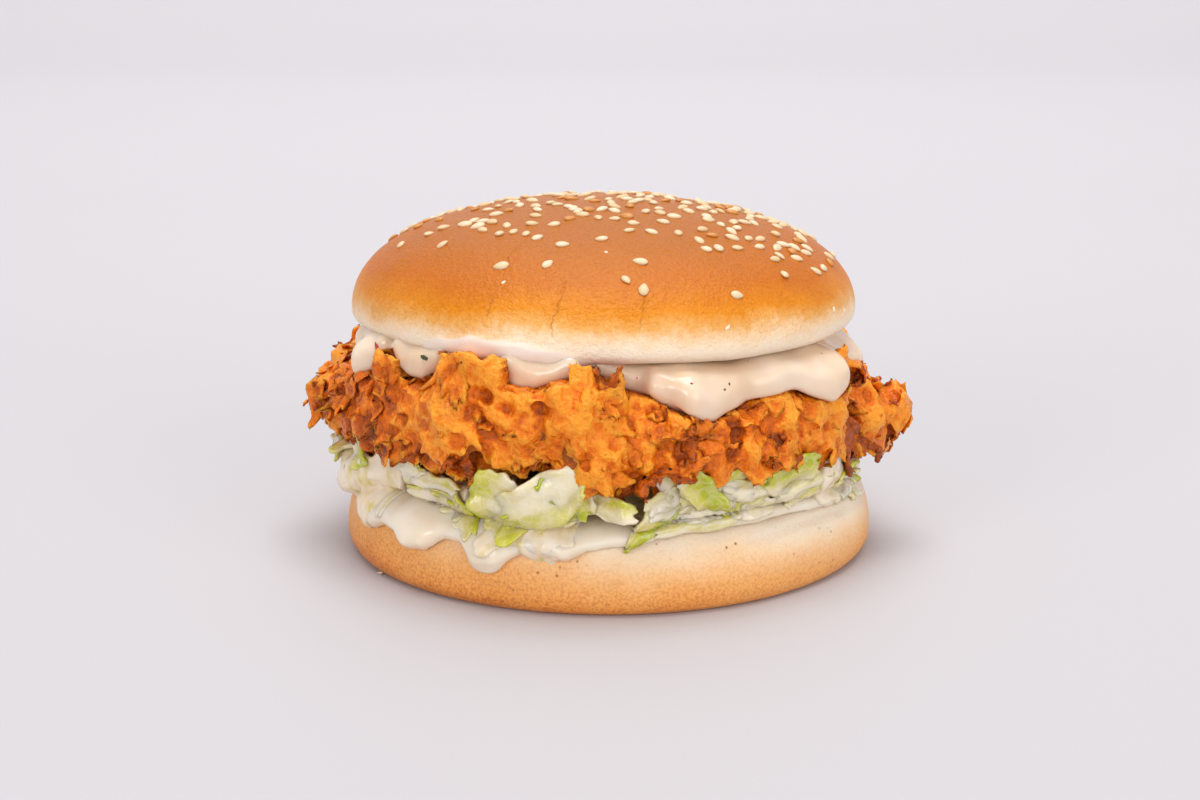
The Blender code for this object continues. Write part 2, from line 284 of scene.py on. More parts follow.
# Pin holes where gas broke through, a few millimetres apart and mostly low on the side.
cells = add_node(heel_crust, "TexVoronoi", {"Vector": place, "Scale": 420.0})
hole = add_node(heel_crust, "MapRange", {"Value": cells, "From Min": 0.16, "From Max": 0.08})
where = add_node(heel_crust, "TexNoise", {"Vector": place, "Scale": 150.0, "Detail": 1.0})
rare = add_node(heel_crust, "MapRange", {"Value": where, "From Min": 0.56, "From Max": 0.66})
holes = add_node(heel_crust, "Math", {0: hole, 1: rare}, operation="MULTIPLY")
pitted = add_node(heel_crust, "MixRGB", {"Fac": holes, "Color1": speckled, "Color2": linear("b3713a")})
raised = add_node(heel_crust, "Math", {0: holes, 1: -1.4, 2: grain}, operation="MULTIPLY_ADD")
bump = add_node(heel_crust, "Bump", {"Height": raised, "Strength": 0.6, "Distance": 0.00025})
wire(heel_crust, Base_Color=pitted, Normal=bump)
shown_as(heel, heel_crust, "bun_heel")

# ---------------------------------------------------------------------------------------------------
# Mayonnaise: spread thick on the heel's cut face and pressed out over its edge, where it hangs in
# heavy drips with a rounded hem. It is glossy and cream coloured, with ground pepper in it.


def copy_of(piece):
    """A copy of a piece, with a mesh of its own."""
    copied = piece.copy()
    copied.data = piece.data.copy()
    bpy.context.scene.collection.objects.link(copied)
    return copied


def join(pieces):
    """Joins pieces to the first of them."""
    bpy.ops.object.select_all(action="DESELECT")
    for piece in pieces:
        piece.select_set(True)
    bpy.context.view_layer.objects.active = pieces[0]
    bpy.ops.object.join()
    return pieces[0]


def own_copy(node, name):
    """A CAD node's solid as a new piece, its loose triangles merged."""
    piece = copy_of(frame["nodes"][node])
    piece.name = name
    piece.parent = None
    bpy.ops.object.select_all(action="DESELECT")
    bpy.context.view_layer.objects.active = piece
    piece.select_set(True)
    bpy.ops.object.mode_set(mode="EDIT")
    bpy.ops.mesh.select_all(action="SELECT")
    bpy.ops.mesh.remove_doubles(threshold=1e-5)
    bpy.ops.object.mode_set(mode="OBJECT")
    return piece


def skin_over(piece, cell):
    """One closed skin, with cells of this size, over all that the piece is made of."""
    apply_modifier(piece, "REMESH", mode="VOXEL", voxel_size=cell)


def roughen(piece, size, height, level=0.5, kind="CLOUDS"):
    """Raises and lowers a surface by lumps of this size and height, along its normals."""
    apply_modifier(piece, "DISPLACE", texture=lumps(size, kind), strength=height, mid_level=level)


def soften(piece, rounds):
    """Smooths a surface over this many rounds."""
    apply_modifier(piece, "SMOOTH", factor=0.5, iterations=rounds)


mayonnaise = own_copy("mayonnaise", "mayonnaise_spread")
# One heavy drip hangs in front.
bpy.ops.mesh.primitive_uv_sphere_add(
    segments=24, ring_count=12, radius=0.0040, location=(-0.0253, -0.0538, 0.0118), rotation=(0, 0, -0.44)
)
drip = bpy.context.active_object
drip.scale = (1.15, 0.50, 0.95)
join([mayonnaise, drip])
skin_over(mayonnaise, 0.00065)
soften(mayonnaise, 8)
roughen(mayonnaise, 0.0090, 0.0011, level=0.42)
roughen(mayonnaise, 0.0035, 0.00030)
soften(mayonnaise, 3)
mayonnaise.data.shade_smooth()

# An emulsion of egg and oil: smooth, wet and slightly see-through at its thin edges.
mayo_finish = new_finish(
    "peppered_mayonnaise", Roughness=0.24, Subsurface_Weight=0.50, Subsurface_Radius=(1.0, 0.75, 0.45),
    Subsurface_Scale=0.004, Coat_Weight=0.15, Coat_Roughness=0.12
)
place = add_node(mayo_finish, "TexCoord", out="Object")
streaks = add_node(mayo_finish, "TexNoise", {"Vector": place, "Scale": 110.0})
cream = add_node(
    mayo_finish, "ValToRGB", {"Fac": streaks}, [(0.30, "e9d6bc"), (0.50, "eedec8"), (0.70, "f1e5d3")]
)


def with_grains(finish, place, ground, scale, radius, rarity, colour):
    """Dots grains over a ground colour. scale counts their cells to the metre, radius is a grain's share
    of its cell, and rarity the share of cells that stay empty."""
    cells = add_node(finish, "TexVoronoi", {"Vector": place, "Scale": scale})
    grain = add_node(finish, "MapRange", {"Value": cells, "From Min": radius, "From Max": radius - 0.05})
    pick = add_node(finish, "SeparateColor", {"Color": cells.node.outputs["Color"]})
    few = add_node(finish, "Math", {0: pick, 1: rarity}, operation="GREATER_THAN")
    grains = add_node(finish, "Math", {0: grain, 1: few}, operation="MULTIPLY")
    return add_node(finish, "MixRGB", {"Fac": grains, "Color1": ground, "Color2": linear(colour)})


# Pepper grains of 0.3 mm, one every 4 mm or so.
wire(mayo_finish, Base_Color=with_grains(mayo_finish, place, cream, 330.0, 0.10, 0.80, "5b4630"))
shown_as(mayonnaise, mayo_finish, "mayonnaise")

# ---------------------------------------------------------------------------------------------------
# Lettuce: a bed of shredded iceberg under the chicken. White, thick ribs and thin green edges lie in
# all directions, some coated with mayonnaise, and the ends hang over the spread.

# The bed's usual radius, and the height at which the fillet lies on it.
BED_RADIUS = 0.057
BED_TOP = 0.0255
LEAF_ACROSS = 12
LEAF_ALONG = 26
LOOSE_SHREDS = 90
# Hollows under the chicken, where no shreds reached the rim: their middle and half width.
HOLLOWS = ((-84.0, 4.5), (-116.5, 3.0))


def surface_of(*pieces):
    """A surface that rays can be cast on, made of all these meshes."""
    points, faces = [], []
    for piece in pieces:
        first = len(points)
        points.extend(vertex.co.copy() for vertex in piece.data.vertices)
        faces.extend([first + corner for corner in face.vertices] for face in piece.data.polygons)
    return BVHTree.FromPolygons(points, faces)


def swell(piece, height):
    """Moves the whole surface outwards by this much, or inwards below 0."""
    apply_modifier(piece, "DISPLACE", strength=height, mid_level=0.0)


lettuce_bed = own_copy("lettuce", "lettuce_bed")
bed_surface = surface_of(lettuce_bed, mayonnaise, heel)
skin_over(lettuce_bed, 0.0011)
for vertex in lettuce_bed.data.vertices:
    away = vertex.co - heel_centre
    angle = angle_of(away)
    for middle, half in HOLLOWS:
        sunk = math.exp(-(((angle - middle) / half) ** 4)) * held((away.z - 0.0215) / 0.002)
        if away.xy.length > 0.045:
            vertex.co -= Vector((away.x, away.y, 0.0)).normalized() * 0.011 * sunk
swell(lettuce_bed, -0.0010)
roughen(lettuce_bed, 0.0050, 0.0018)
lettuce_bed.data.shade_smooth()

bpy.ops.mesh.primitive_grid_add(x_subdivisions=LEAF_ACROSS, y_subdivisions=LEAF_ALONG, size=2.0)
flat_leaf = bpy.context.active_object


def wobble(x, y, z):
    """Smooth noise at this place, about -1 to 1."""
    return noise.noise(Vector((x, y, z)))


def store(piece, name, values):
    """Stores a value for each point of a piece, which its material reads by this name."""
    piece.data.attributes.new(name, "FLOAT", "POINT").data.foreach_set("value", values)


def bed_radius(angle, height, otherwise):
    """How far out the bed's surface is at this angle, in radians, and height."""
    out = Vector((math.cos(angle), math.sin(angle), 0.0))
    hit = bed_surface.ray_cast(heel_centre + out * 0.1 + Vector((0, 0, height)), -out, 0.08)[0]
    return (hit - heel_centre).xy.length if hit else otherwise


def lay_leaf(angle, height, length, width, turn, lift, ruffle, green, rib, point, coat, stand=0.0, seed=0.0):
    """A shred laid on the bed, lengths in metres. turn 0 lies along the rim and 90 upright; lift raises
    its outer edge; green, rib and coat, the mayonnaise on it, run from 0 to 1; point narrows its far
    end; stand leans its top out, or below 0 presses all of it in."""
    leaf = copy_of(flat_leaf)
    facing, leaning = math.cos(math.radians(turn)), math.sin(math.radians(turn))
    base = bed_radius(math.radians(angle), height, BED_RADIUS)
    thick = leaf.vertex_groups.new(name="thick")
    tones, coats = [], []
    for vertex in leaf.data.vertices:
        u, v = vertex.co.x, (vertex.co.y + 1.0) / 2.0
        wander = wobble(v * 2.2, seed, 0.3)
        ragged = wobble(v * 7.0, u * 0.7, seed + 3.1)
        half = width / 2 * (1.0 - point * v**1.5) * (1.0 - 0.45 * (1.0 - v) ** 4 - 0.35 * v**6)
        half *= 1.0 + 0.30 * wobble(v * 3.1, math.copysign(1.0, u), seed) + 0.16 * ragged
        along = (v - 0.5) * length + length * 0.10 * wobble(u * 1.6, seed, v * 2.0)
        across = u * half + 0.18 * width * wander
        wave = math.sin((v * 3.6 + seed + u * 0.4) * math.pi + 1.6 * wander)
        edge = abs(u) ** 1.6
        relief = 0.0004 + ruffle * edge * wave
        relief += 0.45 * ruffle * wobble(u * 2.2, v * 5.5, seed + 7.0)
        relief += lift * (0.5 + 0.5 * u) ** 2
        relief += rib * 0.0007 * math.exp(-((u / 0.28) ** 2)) * (1.0 - v)
        sideways = along * facing - across * leaning
        upright = along * leaning + across * facing
        spot_angle = math.radians(angle) + sideways / BED_RADIUS
        spot_height = height + upright
        radius = bed_radius(spot_angle, min(spot_height, BED_TOP), base)
        leaning_out = held((spot_height - 0.021) / 0.008) if stand > 0.0 else 1.0
        radius = max(radius, base - 0.003) + relief + stand * leaning_out
        vertex.co = (
            heel_centre.x + radius * math.cos(spot_angle), heel_centre.y + radius * math.sin(spot_angle),
            spot_height
        )
        pale = rib * math.exp(-(((u + 0.35) / 0.45) ** 2)) * (1.15 - 0.6 * v)
        shade = green * (0.45 + 0.45 * u + 0.35 * v) - 0.45 * pale
        shade += 0.26 * wobble(u * 1.7, v * 3.5, seed + 1.0)
        shade += 0.10 * wobble(u * 6.0, v * 2.0, seed + 5.0)
        tones.append(held(shade))
        coats.append(coat + 0.5 * wobble(u * 1.9, v * 4.0, seed + 9.0))
        thick.add([vertex.index], min(1.0, 0.30 + 0.9 * pale), "REPLACE")
    store(leaf, "green", tones)
    store(leaf, "coat", coats)
    return leaf


# The shreds that show at the front, from left to right: angle, height, length, width, turn, lift, ruffle,
# green, rib, point and coat.
FRONT_SHREDS = [
    (-170, 0.0262, 0.009, 0.0030, 160, 0.0030, 0.0006, 0.30, 0.1, 0.5, 0.2),
    (-156, 0.0275, 0.010, 0.0060, -60, 0.0010, 0.0006, 0.85, 0.1, 0.0, 0.0),
    (-146.5, 0.0215, 0.014, 0.0042, -76, 0.0002, 0.0004, 0.40, 0.1, 0.3, 0.62, -0.0006),
    (-137, 0.0272, 0.008, 0.0080, 4, 0.0006, 0.0003, 0.32, 0.4, 0.9, 0.0, 0.0010),
    (-131, 0.0246, 0.017, 0.0040, -4, 0.0004, 0.0003, 0.30, 0.5, 0.0, 0.3),
    (-131, 0.0218, 0.016, 0.0040, 4, 0.0003, 0.0004, 0.35, 0.6, 0.0, 0.3),
    (-127, 0.0208, 0.010, 0.0042, -12, 0.0003, 0.0009, 0.48, 0.1, 0.0, 0.1),
    (-122, 0.0196, 0.010, 0.0056, -48, 0.0002, 0.0008, 0.50, 0.2, 0.3, 0.1, -0.0004),
    (-112.5, 0.0240, 0.014, 0.0115, 78, 0.0008, 0.0006, 0.50, 0.3, 0.0, 0.0, 0.0020),
    (-104, 0.0248, 0.022, 0.0120, -152, 0.0022, 0.0014, 0.42, 0.5, 0.0, 0.0, 0.0040),
    (-98, 0.0268, 0.012, 0.0070, 130, 0.0010, 0.0010, 0.95, 0.0, 0.0, -0.2, 0.0030),
    (-104, 0.0214, 0.015, 0.0046, 8, 0.0010, 0.0012, 0.85, 0.1, 0.0, -0.1),
    (-97, 0.0226, 0.009, 0.0040, 30, 0.0008, 0.0010, 0.80, 0.1, 0.0, -0.1),
    (-91, 0.0240, 0.012, 0.0050, -8, 0.0002, 0.0006, 0.40, 0.2, 0.0, 0.3),
    (-79, 0.0250, 0.008, 0.0050, 30, 0.0006, 0.0006, 0.22, 0.7, 0.0, 0.1),
    (-82, 0.0200, 0.015, 0.0085, -126, 0.0006, 0.0006, 0.90, 0.2, 0.9, -0.1),
    (-77, 0.0216, 0.010, 0.0046, -8, 0.0004, 0.0004, 0.22, 0.9, 0.0, 0.1),
    (-71, 0.0186, 0.019, 0.0036, 5, 0.0002, 0.0005, 0.50, 0.1, 0.0, 0.2),
    (-69, 0.0212, 0.013, 0.0056, 4, 0.0006, 0.0005, 0.22, 0.8, 0.0, 0.3),
    (-75, 0.0258, 0.012, 0.0070, -40, 0.0010, 0.0007, 0.60, 0.2, 0.0, 0.0),
    (-70, 0.0252, 0.015, 0.0085, -40, 0.0014, 0.0009, 1.15, 0.0, 0.6, -0.4, 0.0030),
    (-64, 0.0278, 0.009, 0.0050, 30, 0.0010, 0.0008, 0.50, 0.4, 0.0, 0.0, 0.0010),
    (-61, 0.0254, 0.011, 0.0052, -8, 0.0008, 0.0003, 0.32, 1.0, 0.0, 0.0, 0.0008),
    (-58, 0.0226, 0.013, 0.0046, 24, 0.0004, 0.0008, 0.72, 0.3, 0.0, 0.2),
    (-55, 0.0203, 0.012, 0.0052, 2, 0.0002, 0.0006, 0.42, 0.7, 0.5, 0.5),
    (-49, 0.0268, 0.015, 0.0070, 18, 0.0014, 0.0006, 0.85, 0.3, 0.0, -0.1, 0.0010),
    (-46, 0.0236, 0.012, 0.0048, 16, 0.0006, 0.0004, 0.45, 1.0, 0.0, 0.1),
    (-41, 0.0216, 0.013, 0.0050, 20, 0.0002, 0.0008, 0.60, 0.3, 0.0, 0.3),
    (-24, 0.0262, 0.011, 0.0070, -20, 0.0010, 0.0008, 0.40, 0.3, 0.0, 0.2),
    (-12, 0.0252, 0.010, 0.0050, -35, 0.0040, 0.0006, 0.10, 0.3, 0.0, 0.4),
]
leaves = [lay_leaf(*row, seed=1.3 + 1.7 * number) for number, row in enumerate(FRONT_SHREDS)]

# The rest of the way round, shreds fall as they come.
shred_rng = random.Random(11)
for number in range(LOOSE_SHREDS):
    leaves.append(
        lay_leaf(
            -30.0 + 214.0 * (number + shred_rng.uniform(-0.4, 0.4)) / LOOSE_SHREDS,
            shred_rng.choice((0.0185, 0.0205, 0.0225, 0.0245, 0.0255)), shred_rng.uniform(0.009, 0.020),
            shred_rng.uniform(0.003, 0.009), shred_rng.gauss(0.0, 28.0), shred_rng.uniform(0.0, 0.0022),
            shred_rng.uniform(0.0004, 0.0012), shred_rng.choice((0.1, 0.25, 0.35, 0.5, 0.65, 0.9)),
            shred_rng.uniform(0.1, 1.0), shred_rng.choice((0.0, 0.0, 0.5, 0.9)),
            shred_rng.choice((0.0, 0.2, 0.5, 0.7)), seed=80.0 + 1.7 * number
        )
    )

# Dressed shreds, soaked in mayonnaise: they droop over the spread, and over the heel at the left end.
# Angle, height, length, width, turn and stand.
DRESSED_SHREDS = [
    (166, 0.0200, 0.012, 0.0110, -85, -0.0040),
    (176, 0.0165, 0.019, 0.0110, -91, -0.0046),
    (-175, 0.0165, 0.019, 0.0110, -90, -0.0044),
    (-167, 0.0195, 0.015, 0.0110, -90, -0.0034),
    (-159, 0.0200, 0.015, 0.0110, -87, -0.0022),
    (-152, 0.0190, 0.016, 0.0090, -92, -0.0006),
    (-147, 0.0250, 0.010, 0.0090, -80, -0.0004),
    (-112, 0.0175, 0.013, 0.0060, 40, -0.0010),
    (-108, 0.0160, 0.010, 0.0050, -30, -0.0012),
    (-102, 0.0180, 0.010, 0.0060, -8, -0.0012),
    (-35, 0.0232, 0.012, 0.0100, -78, 0.0),
    (-29, 0.0232, 0.012, 0.0080, -85, 0.0),
]
dressed = [
    lay_leaf(*row[:5], 0.0, 0.0006, 0.3, 0.3, 0.0, 1.0, row[5], seed=300.0 + 1.7 * number)
    for number, row in enumerate(DRESSED_SHREDS)
]
dressed.append(lay_leaf(-102.6, 0.0126, 0.007, 0.0080, -90, 0.0, 0.0, 0.3, 0.0, 0.97, 1.0, -0.0012, 351.0))


def joined_shreds(shreds, name, thickness):
    """These shreds as one closed piece, this thick at the rib."""
    piece = join(shreds)
    piece.name = name
    apply_modifier(
        piece, "SOLIDIFY", thickness=thickness, offset=0.0, vertex_group="thick",
        thickness_vertex_group=0.15, use_quality_normals=True
    )
    piece.data.shade_smooth()
    return piece


lettuce_shreds = joined_shreds(leaves, "lettuce_shreds", 0.0018)
dressed_shreds = joined_shreds(dressed, "dressed_lettuce", 0.0032)
bpy.data.objects.remove(flat_leaf)
skin_over(dressed_shreds, 0.0005)
soften(dressed_shreds, 4)
roughen(dressed_shreds, 0.0030, 0.0006)
dressed_shreds.data.shade_smooth()

# Iceberg lettuce, cut raw: crisp, wet and watery, so light passes into it and its veins stand proud.
leaf_finish = new_finish(
    "iceberg_lettuce_shreds", Roughness=0.24, Subsurface_Weight=0.40, Subsurface_Radius=(1.0, 1.0, 0.8),
    Subsurface_Scale=0.0025, Coat_Weight=0.45, Coat_Roughness=0.10
)
place = add_node(leaf_finish, "TexCoord", out="Object")
green = add_node(leaf_finish, "Attribute", out="Fac", attribute_name="green")
_, uneven = stirred_in(leaf_finish, place, green, 420.0, 3.0, 0.45)
tinted = add_node(
    leaf_finish, "ValToRGB", {"Fac": uneven},
    [
        (0.14, "f0e5cc"), (0.32, "eaddb2"), (0.50, "dccd86"), (0.66, "d0c850"), (0.84, "c4c21e"),
        (1.0, "b0b80c")
    ]
)
# A wavering net of pale veins, with meshes of about three millimetres, runs through the leaf.
waver = add_node(leaf_finish, "TexNoise", {"Vector": place, "Scale": 380.0, "Detail": 3.0})
drawn = add_node(
    leaf_finish, "VectorMath", {0: waver, 1: (0.006, 0.006, 0.006), 2: place}, operation="MULTIPLY_ADD"
)
net = add_node(leaf_finish, "TexVoronoi", {"Vector": drawn, "Scale": 330.0}, feature="DISTANCE_TO_EDGE")
line = add_node(leaf_finish, "MapRange", {"Value": net, "From Min": 0.16, "From Max": 0.0})
pale = add_node(leaf_finish, "Math", {0: line, 1: 0.30}, operation="MULTIPLY")
tinted = add_node(leaf_finish, "MixRGB", {"Fac": pale, "Color1": tinted, "Color2": linear("f0e6c4")})
# Mayonnaise clings to the shreds in soft-edged patches.
coat = add_node(leaf_finish, "Attribute", out="Fac", attribute_name="coat")
smeared = add_node(leaf_finish, "MapRange", {"Value": coat, "From Min": 0.30, "From Max": 0.66})
dressed = add_node(leaf_finish, "MixRGB", {"Fac": smeared, "Color1": tinted, "Color2": linear("eedfc6")})
# The veins stand proud, and the skin between them is puckered.
veins = add_node(leaf_finish, "TexNoise", {"Vector": place, "Scale": 700.0, "Detail": 3.0})
raised = add_node(leaf_finish, "Math", {0: line, 1: 0.25, 2: veins}, operation="MULTIPLY_ADD")
bump = add_node(leaf_finish, "Bump", {"Height": raised, "Strength": 0.6, "Distance": 0.0004})
wire(leaf_finish, Base_Color=dressed, Normal=bump)
shown_as(lettuce_shreds, leaf_finish)

# Mayonnaise soaked into shreds: cream coloured, with yellow-green leaf showing through in streaks.
dressed_finish = new_finish(
    "dressed_lettuce", Roughness=0.22, Subsurface_Weight=0.35, Subsurface_Radius=(1.0, 0.85, 0.6),
    Subsurface_Scale=0.002
)
place = add_node(dressed_finish, "TexCoord", out="Object")
drawn = add_node(dressed_finish, "VectorMath", {0: place, 1: (330.0, 330.0, 90.0)}, operation="MULTIPLY")
streaks = add_node(dressed_finish, "TexNoise", {"Vector": drawn, "Scale": 1.0, "Detail": 3.0})
soaked = add_node(
    dressed_finish, "ValToRGB", {"Fac": streaks},
    [(0.26, "c8b558"), (0.38, "e2d09e"), (0.48, "ebd8bc"), (0.70, "f1e3d0")]
)
wire(dressed_finish, Base_Color=soaked)
shown_as(dressed_shreds, dressed_finish, "lettuce")

# Inside the bed the shreds are matted together with mayonnaise; little light reaches them, so their darker
# tones are painted shade.
bed_finish = new_finish(
    "matted_lettuce_painted_shade", Roughness=0.4, Subsurface_Weight=0.2, Subsurface_Radius=(0.8, 1.0, 0.35),
    Subsurface_Scale=0.002
)
place = add_node(bed_finish, "TexCoord", out="Object")
strands = add_node(bed_finish, "TexNoise", {"Vector": place, "Scale": 260.0, "Detail": 3.0})
# The darker stops are painted shade, deep in the bed; the pale ones are the matted shreds' own colour.
matted_and_shaded = add_node(
    bed_finish, "ValToRGB", {"Fac": strands},
    [(0.32, "ae9a60"), (0.45, "d2bf8a"), (0.60, "e2d2ac"), (0.78, "eaddc6")]
)
wire(bed_finish, Base_Color=matted_and_shaded)
shown_as(lettuce_bed, bed_finish, "lettuce")

# ---------------------------------------------------------------------------------------------------
# Spicy sauce: chilli mayonnaise squeezed on the chicken and pressed out by the crown. It runs over
# the fillet's shoulder in broad, thick-edged tongues, pale peach, with herb and chilli in it.

# The hems of the lobes that hang over the shoulder at the left and in front: angle and height.
SAUCE_HEMS = (
    ((-164.0, 0.0490), (-160.6, 0.0446), (-156.0, 0.0452), (-152.5, 0.0474), (-148.5, 0.0508)),
    ((-141.5, 0.0516), (-139.4, 0.0492), (-135.3, 0.0474), (-131.2, 0.0496), (-128.8, 0.0518)),
    ((-111.5, 0.0526), (-110.0, 0.0520), (-107.7, 0.0506), (-104.4, 0.0498), (-100.2, 0.0507),
     (-98.1, 0.0524)),
)
# The left side of the broad tongue at the right, which lies flatter on the shoulder.
TONGUE_HEM = ((-79.5, 0.0470), (-77.5, 0.0450), (-74.5, 0.0438), (-70.5, 0.0426), (-66.0, 0.0428),
              (-62.0, 0.0440))
SAUCE_TOP = 0.0538
HEM_STEP = 1.1
SAUCE_CELL = 0.00060


def hem_spots(hem):
    """Angles a step apart along a hem, and how low it hangs there."""
    angles, heights = zip(*hem)
    for angle in np.arange(angles[0], angles[-1] + 0.1, HEM_STEP):
        yield angle, float(np.interp(angle, angles, heights))


def add_blob(angle, distance, height, deep, wide, tall):
    """An ellipsoid of sauce at this angle and distance from the middle, with these half sizes."""
    turn = math.radians(angle)
    spot = heel_centre + Vector((distance * math.cos(turn), distance * math.sin(turn), height))
    bpy.ops.mesh.primitive_uv_sphere_add(
        segments=16, ring_count=12, radius=1.0, location=spot, rotation=(0.0, 0.0, turn)
    )
    blob = bpy.context.active_object
    blob.scale = (deep, wide, tall)
    bpy.ops.object.transform_apply()
    return blob


sauce = own_copy("spicy_sauce", "spicy_sauce_layer")
bead = own_copy("spicy_sauce", "sauce_bead")
bead.data.transform(Matrix.Translation((0.0, 0.0, 0.0014)))
blobs = [sauce, bead]
for hem in SAUCE_HEMS:
    for angle, low in hem_spots(hem):
        middle, tall = (SAUCE_TOP + low) / 2, (SAUCE_TOP - low) / 2
        blobs.append(add_blob(angle, 0.0556, middle, 0.0015, 0.0015, max(0.0012, tall)))
        blobs.append(add_blob(angle, 0.0564, low + 0.0014, 0.0018, 0.0016, 0.0014))
for angle, low in hem_spots(TONGUE_HEM):
    blobs.append(add_blob(angle, 0.0553, low + 0.0013, 0.0020, 0.0016, 0.0013))
    blobs.append(add_blob(angle, 0.0530, low + 0.0030, 0.0032, 0.0016, 0.0014))
join(blobs)
skin_over(sauce, SAUCE_CELL)
swell(sauce, 0.0010)
skin_over(sauce, SAUCE_CELL)
soften(sauce, 12)
roughen(sauce, 0.0090, 0.0010, level=0.45)
soften(sauce, 6)
sauce.data.shade_smooth()

# The same emulsion with chilli oil in it: pale peach, wetter than the mayonnaise.
sauce_finish = new_finish(
    "chilli_mayonnaise", Roughness=0.20, Subsurface_Weight=0.50, Subsurface_Radius=(1.0, 0.6, 0.4),
    Subsurface_Scale=0.004, Coat_Weight=0.15, Coat_Roughness=0.10
)
place = add_node(sauce_finish, "TexCoord", out="Object")
streaks = add_node(sauce_finish, "TexNoise", {"Vector": place, "Scale": 90.0})
peach = add_node(
    sauce_finish, "ValToRGB", {"Fac": streaks}, [(0.30, "e1c2a3"), (0.50, "e7cdb2"), (0.70, "ead6c0")]
)
# Grains of chilli and black pepper, 0.3 mm.
wire(sauce_finish, Base_Color=with_grains(sauce_finish, place, peach, 300.0, 0.09, 0.86, "b5713f"))
shown_as(sauce, sauce_finish, "spicy_sauce")
sauce_surface = surface_of(sauce)

# ---------------------------------------------------------------------------------------------------
# Chicken: a whole breast fillet, dredged twice and deep fried. Ragged plates of batter have fused into
# one craggy coat over deep hollows, whose dark brown is partly painted shade, and thin flakes with lifted
# rims have fried on to it.

PLATE_SPACING = 0.00050
CRUST_VOXEL = 0.00046
CRUST_TRIANGLES = 190000
# How far plates may stand out past the fillet's outline, and hang below it.
CRUST_REACH = 0.0024
CRUST_HANG = 0.0020
# Within the first radius no batter shows, and the fillet's side lies outside the second.
CRUST_CORE = 0.046
FILLET_EDGE = 0.050
# A spot with this much room around it is wholly open to the light, and its colour gets no painted shade.
OPEN_REACH = 0.006
FLAKE_TRIES = 4500
FLAKE_HEIGHTS = (0.0235, 0.0515)
FLAKE_SIZES = (0.0045, 0.0060, 0.0080, 0.0100, 0.0130)
FLAKES_APART = 0.40
# How much lighter the plates' rims are coloured: partly thin batter fried gold, partly a painted highlight.
RIM_GOLD_AND_HIGHLIGHT = 0.36
# Coloured darker round these angles, partly browner frying and partly painted shade over the shaded left end
# and a deep hollow right of the front: angle, spread to either side and how much.
DARK_STRETCHES = ((-153.0, 16.0, 0.30), (-68.0, 10.0, 0.26))
# Between these angles the crust stands up in front of the sauce.
CRUST_IN_FRONT = ((-146.0, -139.5), (-124.5, -111.0), (-97.5, -92.5), (-36.0, -8.0))
# Between these angles shreds or hollows show under the fillet, and no plate hangs below this height.
BARE_STRETCHES = ((-113.0, -98.0, 0.0345), (-120.0, -110.0, 0.0290), (-88.0, -80.0, 0.0300))

crust = own_copy("chicken_fillet", "crust")
fillet_surface = surface_of(crust)
skin_over(crust, 0.00080)
swell(crust, -0.0012)
roughen(crust, 0.0130, -0.0044, level=0.34, kind="VORONOI")
roughen(crust, 0.0050, -0.0022, level=0.38, kind="VORONOI")
lobe_surface = surface_of(crust)


def outward(angle):
    """The level direction out from the middle at this angle."""
    return Vector((math.cos(math.radians(angle)), math.sin(math.radians(angle)), 0.0))


def seen_from(angle, height, surface):
    """Where the surface is met from outside at this angle and height, and its normal there."""
    out = outward(angle)
    return surface.ray_cast(out * 0.1 + Vector((0, 0, height)), -out, 0.1)[:2]


def relief(x, y, cell, rng):
    """A smooth random height between -1 and 1 at each place, with lumps of this size."""
    heights = rng.uniform(-1.0, 1.0, (40, 40))
    place = [np.clip(values / cell + 19.0, 0.0, 38.0) for values in (x, y)]
    low = [values.astype(int) for values in place]
    share = [values - start for values, start in zip(place, low)]
    along, down = [values * values * (3.0 - 2.0 * values) for values in share]
    near = heights[low[0], low[1]] * (1 - along) + heights[low[0] + 1, low[1]] * along
    far = heights[low[0], low[1] + 1] * (1 - along) + heights[low[0] + 1, low[1] + 1] * along
    return near * (1 - down) + far * down


def scallops(way, count, rng):
    """Round lobes with sharp notches between them, this many to the turn, about -0.6 to 0.4."""
    return np.abs(np.sin(way * count / 2 + rng.uniform(0.0, math.pi))) - 0.6


def held_in(points, angle, height):
    """Moves a plate in and up as far as it takes to stay close to the fillet's own outline."""
    skin = seen_from(angle, max(0.0245, min(0.044, height)), fillet_surface)[0]
    if skin is None:
        return points
    under = Vector((0.93 * skin.x, 0.93 * skin.y, 0.0))
    floor = fillet_surface.ray_cast(under, Vector((0, 0, 1)))[0]
    reach = np.hypot(points[:, 0], points[:, 1]).max() - skin.xy.length - CRUST_REACH
    out = np.array((math.cos(math.radians(angle)), math.sin(math.radians(angle)), 0.0))
    points = points - max(0.0, reach) * out
    hang = (floor.z if floor else 0.026) - CRUST_HANG - points[:, 2].min()
    return points + max(0.0, hang) * np.array((0.0, 0.0, 1.0))


shell_points, shell_faces, shell_rims, shell_tones = [], [], [], []


def stands_in_front(spot):
    """Whether the crust at this place stands up in front of the sauce."""
    return any(first < angle_of(spot) < last for first, last in CRUST_IN_FRONT)


def under_sauce(points, normal):
    """Presses a plate back where it would stand in front of the sauce that lies on it."""
    if stands_in_front(Vector(points[0])):
        return points
    for number, point in enumerate(points):
        place, _, _, distance = sauce_surface.ray_cast(Vector(point) + normal * 0.0002, -normal, 0.0050)
        if place is not None:
            points[number] = point - np.array(normal) * (distance + 0.0010)
    return points


